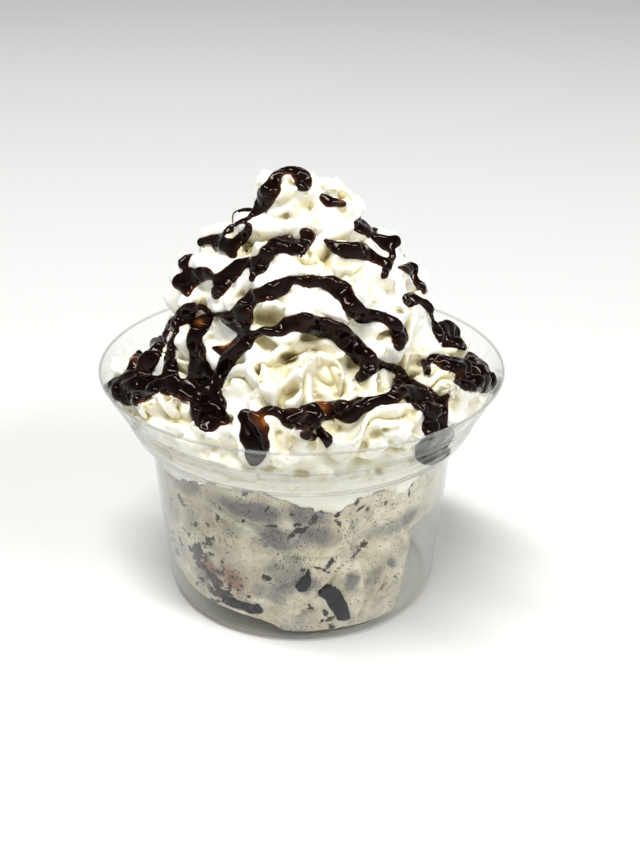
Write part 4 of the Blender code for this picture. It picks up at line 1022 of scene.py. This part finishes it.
# Chocolate syrup is squeezed over the cream from a bottle, back and forth and round. It lies as thick,
# round-edged ribbons that run over the folds, gather in the hollows and at the collar, and are orange-brown
# where thin. Each stroke is drawn as the lips are: across, up and half width, from the viewpoint.
SYRUP_STROKES = {
    "crest": [(0.1, 103.0, 1.2), (-0.1, 104.9, 1.9), (-2.1, 106.3, 1.2), (-4.6, 106.2, 1.0),
        (-6.5, 104.4, 1.4), (-7.7, 101.8, 1.9), (-8.6, 99.4, 1.7), (-10.7, 96.8, 1.0), (-12.8, 95.1, 0.6)],
    "left_shoulder": [(-12.8, 95.1, 0.6), (-14.9, 94.2, 0.5), (-17.1, 92.5, 0.5), (-19.0, 91.0, 0.7),
        (-21.8, 90.0, 0.7), (-24.1, 89.3, 1.0), (-26.1, 87.6, 1.2), (-27.6, 85.6, 1.1),
        (-28.6, 83.6, 0.5)],
    "left_patch": [(-20.0, 88.3, 0.7), (-18.3, 89.0, 1.4), (-16.5, 88.6, 1.7), (-14.6, 89.8, 1.0),
        (-12.9, 91.7, 0.7), (-12.4, 93.7, 0.5)],
    "left_patch_drip": [(-16.9, 88.6, 1.2), (-16.3, 86.6, 0.8)],
    "brow": [(0.6, 91.8, 1.0), (2.0, 90.6, 1.0), (0.4, 88.9, 1.2), (-2.4, 88.4, 1.7), (-5.5, 88.4, 1.7),
        (-7.6, 87.4, 1.4), (-8.8, 85.6, 1.7), (-10.4, 84.6, 1.4), (-13.0, 84.6, 1.0), (-15.2, 83.4, 1.4),
        (-17.3, 81.1, 1.9), (-19.3, 79.4, 1.9), (-20.3, 76.8, 1.2)],
    "brow_branch": [(-2.6, 91.0, 0.6), (-4.3, 89.8, 1.2), (-6.9, 89.1, 1.2)],
    "brow_drip": [(-0.3, 88.6, 1.2), (-0.3, 86.9, 0.8)],
    "brow_hook": [(-9.5, 84.1, 1.7), (-11.2, 82.4, 1.2), (-11.7, 80.7, 0.8)],
    "right_brow": [(5.5, 89.9, 0.5), (7.2, 88.6, 1.0), (9.3, 87.7, 1.4), (11.7, 87.2, 1.8),
        (14.0, 87.2, 1.7), (16.4, 86.2, 1.2), (18.5, 85.0, 1.0), (20.0, 84.2, 1.0), (19.6, 81.7, 1.0)],
    "top_patch": [(4.7, 100.2, 0.4), (6.1, 99.2, 1.2), (8.0, 99.0, 0.8), (9.8, 98.8, 0.4)],
    "right_edge": [(12.7, 94.2, 0.7), (13.2, 93.0, 1.0), (14.8, 92.1, 0.7), (16.7, 91.1, 0.8),
        (18.6, 90.1, 1.2), (20.5, 89.4, 1.7), (22.1, 89.9, 1.2), (23.3, 89.4, 0.6)],
    "right_edge_top": [(13.8, 95.4, 0.4), (15.0, 94.3, 0.7), (16.4, 93.5, 1.0), (17.8, 93.5, 0.5)],
    "right_edge_drip": [(19.1, 89.4, 1.2), (20.8, 87.9, 0.6), (21.3, 86.2, 0.4)],
    "right_hook": [(22.8, 83.2, 0.5), (24.5, 83.3, 1.0), (25.9, 83.5, 1.1), (26.5, 81.5, 0.8),
        (27.5, 79.5, 0.7), (28.8, 77.7, 0.6), (29.3, 76.7, 0.4)],
    "right_low": [(24.6, 75.2, 0.5), (26.0, 75.4, 1.7), (27.9, 75.4, 1.0), (29.9, 74.2, 0.7),
        (31.2, 72.4, 0.5), (31.5, 70.1, 0.4)],
    "left_blob": [(-29.5, 79.1, 1.2), (-28.3, 79.9, 1.9), (-26.3, 80.4, 2.2), (-24.4, 81.1, 1.7),
        (-22.8, 81.4, 1.2), (-21.6, 81.1, 0.6)],
    "left_blob_drip": [(-27.6, 78.8, 1.7), (-27.2, 76.8, 0.7)],
    "upper_arc": [(-15.0, 70.2, 2.4), (-13.5, 73.6, 1.7), (-11.8, 75.9, 1.7), (-9.1, 76.6, 1.7),
        (-6.5, 77.4, 1.9), (-4.3, 78.9, 1.7), (-2.0, 80.2, 0.8), (1.4, 79.9, 1.0), (4.7, 79.9, 1.3),
        (7.5, 78.9, 1.9), (9.5, 77.2, 2.2), (11.4, 74.9, 1.9), (13.1, 72.3, 1.9), (14.8, 71.0, 1.7),
        (17.7, 71.3, 1.2), (20.6, 70.3, 1.1), (22.6, 68.5, 1.4), (23.7, 66.1, 1.8), (23.8, 63.5, 1.3)],
    "arc_left": [(-21.4, 71.5, 0.5), (-18.8, 71.2, 0.7), (-16.7, 69.9, 1.9), (-14.5, 68.6, 1.9),
        (-13.3, 70.7, 1.2)],
    "left_thread": [(-26.1, 73.3, 0.5), (-24.5, 73.5, 0.3), (-21.6, 71.7, 0.4)],
    "lower_arc": [(-21.4, 49.1, 1.0), (-21.3, 52.1, 1.2), (-20.2, 55.7, 1.4), (-18.4, 58.9, 1.6),
        (-16.4, 61.8, 1.9), (-14.4, 63.9, 1.9), (-12.4, 65.8, 1.0), (-9.7, 67.1, 0.7), (-7.3, 67.1, 0.8),
        (-4.9, 67.6, 1.4), (-2.5, 68.9, 1.9), (0.4, 69.2, 2.4), (3.8, 68.4, 2.3), (6.7, 67.7, 2.2),
        (9.4, 66.4, 2.4), (11.6, 64.3, 2.4), (13.8, 61.6, 2.4), (15.8, 59.2, 2.2), (16.6, 56.8, 1.4),
        (14.2, 55.2, 1.0)],
    "arc_hem": [(-21.4, 62.6, 0.6), (-19.3, 62.1, 1.2), (-16.8, 62.4, 1.4)],
    "right_link": [(17.1, 57.9, 1.4), (19.6, 58.2, 0.8), (22.0, 57.6, 0.7), (24.0, 56.3, 1.0),
        (24.6, 53.9, 1.7), (24.4, 51.7, 2.2)],
    "left_step": [(-31.9, 68.4, 1.2), (-29.9, 69.7, 1.4), (-27.9, 71.5, 1.7), (-26.1, 73.0, 1.0)],
    "inner_left": [(-22.6, 70.4, 1.0), (-24.4, 68.6, 1.9), (-25.7, 66.3, 1.7), (-25.8, 63.4, 1.7),
        (-25.6, 60.5, 1.9), (-25.3, 57.5, 2.4), (-24.6, 54.6, 2.9), (-24.3, 51.3, 3.7), (-23.6, 48.6, 4.2),
        (-23.4, 45.8, 4.2), (-23.3, 43.6, 3.6)],
    "inner_left_foot": [(-21.7, 44.7, 2.4), (-19.8, 42.8, 1.2)],
    "left_back": [(-32.9, 67.3, 1.0), (-34.9, 65.5, 1.7), (-37.1, 64.4, 1.2), (-39.4, 63.4, 0.7)],
    "left_pool_upper": [(-34.3, 66.8, 1.4), (-35.2, 64.4, 1.9), (-37.0, 61.5, 2.4), (-38.6, 58.9, 2.9),
        (-40.0, 56.2, 2.9), (-41.4, 53.7, 2.9)],
    "left_pool": [(-49.0, 53.2, 0.7), (-47.4, 51.8, 2.2), (-44.0, 51.6, 3.2), (-40.5, 52.1, 3.0),
        (-37.0, 52.9, 2.2), (-34.3, 52.7, 2.2), (-31.1, 52.4, 2.2), (-27.7, 51.3, 3.0),
        (-24.5, 50.8, 3.5)],
    "left_pool_low": [(-43.1, 49.1, 2.2), (-40.6, 49.7, 1.7), (-37.6, 50.8, 1.5)],
    "left_fall": [(-30.2, 67.3, 0.7), (-31.3, 64.7, 0.7), (-31.9, 61.5, 1.0), (-32.3, 58.3, 1.5),
        (-32.2, 55.1, 2.0), (-31.4, 52.4, 2.0)],
    "front_drip": [(-14.3, 44.7, 1.2), (-12.3, 41.9, 2.9), (-12.4, 38.6, 3.1), (-11.4, 35.4, 2.7),
        (-12.0, 32.8, 2.2), (-12.5, 31.1, 1.0)],
    "front_band": [(-11.0, 44.2, 0.7), (-8.0, 45.6, 1.0), (-5.0, 44.5, 1.4), (-2.3, 43.6, 2.7),
        (0.7, 43.9, 2.9), (3.4, 45.6, 2.2), (6.4, 45.6, 2.2), (9.4, 45.9, 2.4), (12.2, 45.6, 2.7),
        (14.6, 47.3, 1.9), (17.4, 48.1, 1.3), (20.3, 48.6, 1.2), (23.3, 49.8, 1.7)],
    "front_small_drip": [(3.5, 42.0, 1.0), (5.0, 39.4, 1.0), (6.5, 37.4, 1.0), (6.3, 36.0, 0.5)],
    "front_small_side": [(0.5, 38.8, 0.7), (2.7, 38.3, 0.6)],
    "right_fall": [(25.2, 52.5, 2.5), (27.4, 50.9, 2.7), (30.2, 49.2, 3.0), (32.6, 46.7, 3.0),
        (33.5, 43.9, 3.0), (33.1, 41.1, 2.5), (32.5, 39.2, 1.5)],
    "right_fall_spike": [(33.6, 47.6, 1.9), (35.2, 48.9, 1.0), (36.2, 50.0, 0.5)],
    "right_wall": [(36.5, 39.2, 1.9), (33.8, 36.6, 2.4), (30.9, 34.3, 2.2), (33.0, 32.0, 1.7),
        (36.5, 33.7, 1.4)],
    "left_wall": [(-46.1, 44.7, 1.0), (-44.5, 42.5, 1.4), (-42.6, 41.3, 1.1), (-41.1, 41.9, 0.5)],
    "right_pool": [(32.3, 69.5, 1.4), (34.5, 68.2, 2.9), (35.8, 65.9, 2.7), (35.2, 64.3, 1.4)],
    "right_pool_tail": [(37.9, 64.3, 1.2), (39.7, 62.7, 0.5)],
    "right_spot": [(30.1, 59.0, 0.6), (30.7, 56.6, 0.5)],
    "right_step": [(32.0, 60.0, 0.9), (34.7, 59.0, 1.6), (37.5, 58.2, 1.9), (40.2, 57.7, 1.6),
        (42.6, 57.9, 1.2)],
    "right_rim_pool": [(41.0, 60.6, 1.2), (43.4, 57.7, 1.7), (44.8, 54.4, 2.2), (42.4, 53.6, 2.2),
        (39.4, 54.1, 1.5), (46.4, 52.5, 1.5), (47.9, 56.9, 1.2), (48.4, 60.4, 0.7)],
}
# Strokes on the far side, drawn as they look from behind
FAR_STROKES = {
    "back_top": [(-11.5, 92.5, 1.5), (-4.0, 95.0, 2.0), (3.5, 93.0, 1.3)],
    "back_upper": [(-24.0, 80.0, 1.5), (-12.0, 85.0, 2.0), (2.0, 82.0, 1.6), (14.0, 84.0, 2.0),
        (22.0, 79.0, 1.4)],
    "back_middle": [(-27.0, 70.0, 1.4), (-10.0, 75.0, 1.9), (6.0, 71.0, 1.6), (24.0, 72.0, 1.8)],
    "back_lower": [(-24.0, 60.0, 1.8), (-8.0, 64.0, 1.5), (10.0, 60.0, 2.0), (22.0, 62.0, 1.4)],
    "back_pool": [(-14.0, 49.0, 2.0), (2.0, 51.0, 2.6), (14.0, 48.5, 1.8)],
}
# Where light comes through a thin film of syrup, in the strokes' measure: across, up and half width
THIN_SPOTS = [
    (-10.6, 43.2, 3.2), (4.6, 46.8, 3.0), (3.2, 70.8, 3.6), (7.0, 81.2, 2.6), (-40.6, 58.6, 2.6),
    (-17.5, 63.6, 2.6), (1.2, 45.2, 1.6), (-2.0, 92.0, 1.4), (9.0, 99.4, 1.4), (27.0, 54.0, 1.4),
    (44.0, 60.2, 1.6), (-24.3, 69.5, 1.8),
]
GRID = 0.42 * MM
SYRUP_SPREAD = 0.28 * MM
RAGGED_EDGE = 0.7 * MM
LEVEL_CELLS = 3
LEVEL_ROUNDS = 2
LEVEL_STEP = 1.6 * MM
DROP_LEAST = 0.34 * MM
DROP_MOST = 1.15 * MM
SYRUP_LEAST = 0.20 * MM
SYRUP_MOST = 0.55 * MM
BRIDGE = 3.2 * MM
SYRUP_VOXEL = 0.34 * MM


def stroke_cover(strokes):
    """Grid places inside the strokes' outlines, and how far inside each lies."""
    covered = {}
    for points in strokes.values():
        line = smooth_path(points, 12 * len(points)) * MM
        for across, up, half in line:
            reach = int((half + SYRUP_SPREAD) / GRID) + 1
            column, row = round(across / GRID), round(up / GRID)
            for i in range(column - reach, column + reach + 1):
                for j in range(row - reach, row + reach + 1):
                    away = math.hypot(i * GRID - across, j * GRID - up)
                    ragged = RAGGED_EDGE * noise.noise((i * 0.13, j * 0.13, 0.0))
                    inside = half + SYRUP_SPREAD + ragged - away
                    if inside > 0.08 * MM:
                        covered[i, j] = max(covered.get((i, j), 0.0), inside)
    return covered


def levelled(hits):
    """The surface that syrup settles to: each hit's reach and normal drawn to the mean of its neighbours."""
    span = range(-LEVEL_CELLS, LEVEL_CELLS + 1)
    settled = {}
    for (i, j), (reach, _) in hits.items():
        near = [hits[i + a, j + b] for a in span for b in span if (i + a, j + b) in hits]
        near = [hit for hit in near if abs(hit[0] - reach) < LEVEL_STEP]
        mean = sum(hit[0] for hit in near) / len(near)
        settled[i, j] = (min(mean, reach), sum((hit[1] for hit in near), Vector()))
    return settled


def lay_drops(tree, covered, flip):
    """Follows the line of sight through each covered place down to the cream, and bridges small gaps."""
    eye = Vector((EYE.x, EYE.y * flip, EYE.z))
    aims = {(i, j): (Vector((i * GRID * flip, 0.0, j * GRID)) - eye).normalized() for i, j in covered}
    hits = {}
    for cell, aim in aims.items():
        spot, normal, _, _ = tree.ray_cast(eye, aim)
        if spot:
            hits[cell] = ((spot - eye).length, normal)
    for _ in range(LEVEL_ROUNDS):
        hits = levelled(hits)
    found = {}
    for cell, (reach, normal) in hits.items():
        radius = min(max(covered[cell], DROP_LEAST), DROP_MOST)
        thick = SYRUP_LEAST + SYRUP_MOST * (1 - math.exp(-covered[cell] / (0.7 * MM)))
        out = (normal.normalized() - 0.5 * aims[cell]).normalized()
        found[cell] = (eye + aims[cell] * reach + out * (thick - radius), radius)
    drops = list(found.values())
    for (i, j), (spot, radius) in found.items():
        for near in ((i + 1, j), (i, j + 1), (i + 1, j + 1), (i + 1, j - 1)):
            if near in found:
                other, other_radius = found[near]
                gap = (other - spot).length
                if GRID * 1.5 < gap < BRIDGE:
                    for step in range(1, int(gap / GRID)):
                        share = step * GRID / gap
                        drops.append((spot.lerp(other, share), radius + (other_radius - radius) * share))
    return drops


drops = lay_drops(cream_tree, stroke_cover(SYRUP_STROKES), 1.0)
drops += lay_drops(cream_tree, stroke_cover(FAR_STROKES), -1.0)
bpy.ops.object.select_all(action="DESELECT")
bpy.ops.mesh.primitive_ico_sphere_add(subdivisions=2, radius=1)
seed_drop = bpy.context.object
drop_points = read_points(seed_drop.data)
drop_faces = np.array([p.vertices[:] for p in seed_drop.data.polygons])
bpy.data.objects.remove(seed_drop)
centres = np.array([spot[:] for spot, _ in drops])
radii = np.array([radius for _, radius in drops])
points = (centres[:, None] + radii[:, None, None] * drop_points[None]).reshape(-1, 3)
faces = (drop_faces[None] + (np.arange(len(drops)) * len(drop_points))[:, None, None]).reshape(-1, 3)
syrup = add_piece("chocolate_syrup", points, faces.tolist())
remeshed(syrup, SYRUP_VOXEL, 4)
syrup.data.shade_smooth()
spots = read_points(syrup.data)
heights = np.array([cream_tree.find_nearest(spot)[3] for spot in spots.tolist()])
spots_across, spots_up = as_drawn(spots)
see_through_at = np.zeros(len(spots))
for across, up, half in THIN_SPOTS:
    away = np.hypot(spots_across - across, spots_up - up) / half
    see_through_at = np.maximum(see_through_at, np.clip(1.25 - away, 0, 1))
thin = np.clip(1 - heights / SYRUP_MOST, 0, 1)
add_values(syrup.data, "thin", blurred(syrup.data, thin[:, None], 2)[:, 0])
add_values(syrup.data, "glowing", np.where(spots[:, 1] < FRONT_HALF, see_through_at, 0.0))

chocolate_syrup, tree, shader = finish(
    "chocolate_syrup", Roughness=0.12, Specular_IOR_Level=0.18, Specular_Tint=(1.0, 0.82, 0.72, 1))
patches = between(tree, mottle(tree, own_place(tree), 150.0, 3.0), 0.42, 0.66)
film = (stored(tree, "thin") * (0.25 + patches * 0.75) + stored(tree, "glowing") * patches).clamp()
feed(tree, shader, Base_Color=shaded(
    tree, film, (0.0, (0.0045, 0.0016, 0.0011)), (0.35, (0.028, 0.0075, 0.0030)),
    (0.75, (0.11, 0.030, 0.0065)), (1.0, (0.26, 0.085, 0.018))))
syrup.data.materials.append(chocolate_syrup)
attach(syrup, "root")
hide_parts("whipped_cream")


# The table: a plain pale top under broad, soft light.
bpy.ops.object.select_all(action="DESELECT")
bpy.ops.mesh.primitive_plane_add(size=6)
table = bpy.context.object
table.name = "table_top"
table.data.materials.append(finish("table_top", Base_Color=(0.84, 0.835, 0.82, 1), Roughness=0.5)[0])

world = bpy.data.worlds.new("room")
world.use_nodes = True
tree = world.node_tree
aloft = node(tree, "ShaderNodeSeparateXYZ", {}, {0: node(tree, "ShaderNodeTexCoord", out=0)}, out=2)
brightness = node(tree, "ShaderNodeMapRange", {}, {0: aloft, 1: 0.12, 2: 0.85, 3: 0.58, 4: 0.05})
sky = tree.nodes["Background"]
sky.inputs["Color"].default_value = (1, 1, 1, 1)
feed(tree, sky, Strength=brightness)
bpy.context.scene.world = world


def soft_light(name, place, aim, size, power):
    """A square soft lamp at a place, aimed at a point."""
    lamp = bpy.data.lights.new(name, "AREA")
    lamp.shape = "RECTANGLE"
    lamp.size, lamp.size_y = size
    lamp.energy = power
    made = bpy.data.objects.new(name, lamp)
    made.location = place
    made.rotation_euler = (Vector(aim) - Vector(place)).to_track_quat("-Z", "Y").to_euler()
    bpy.context.scene.collection.objects.link(made)


soft_light("ceiling_light", (-0.2, -0.3, 1.45), (0, 0, 0.06), (1.0, 0.19), 23.0)
soft_light("window_light", (0.88, -0.7, 1.0), (0, 0, 0.06), (0.6, 0.17), 8.5)
bpy.context.scene.view_settings.view_transform = "Standard"
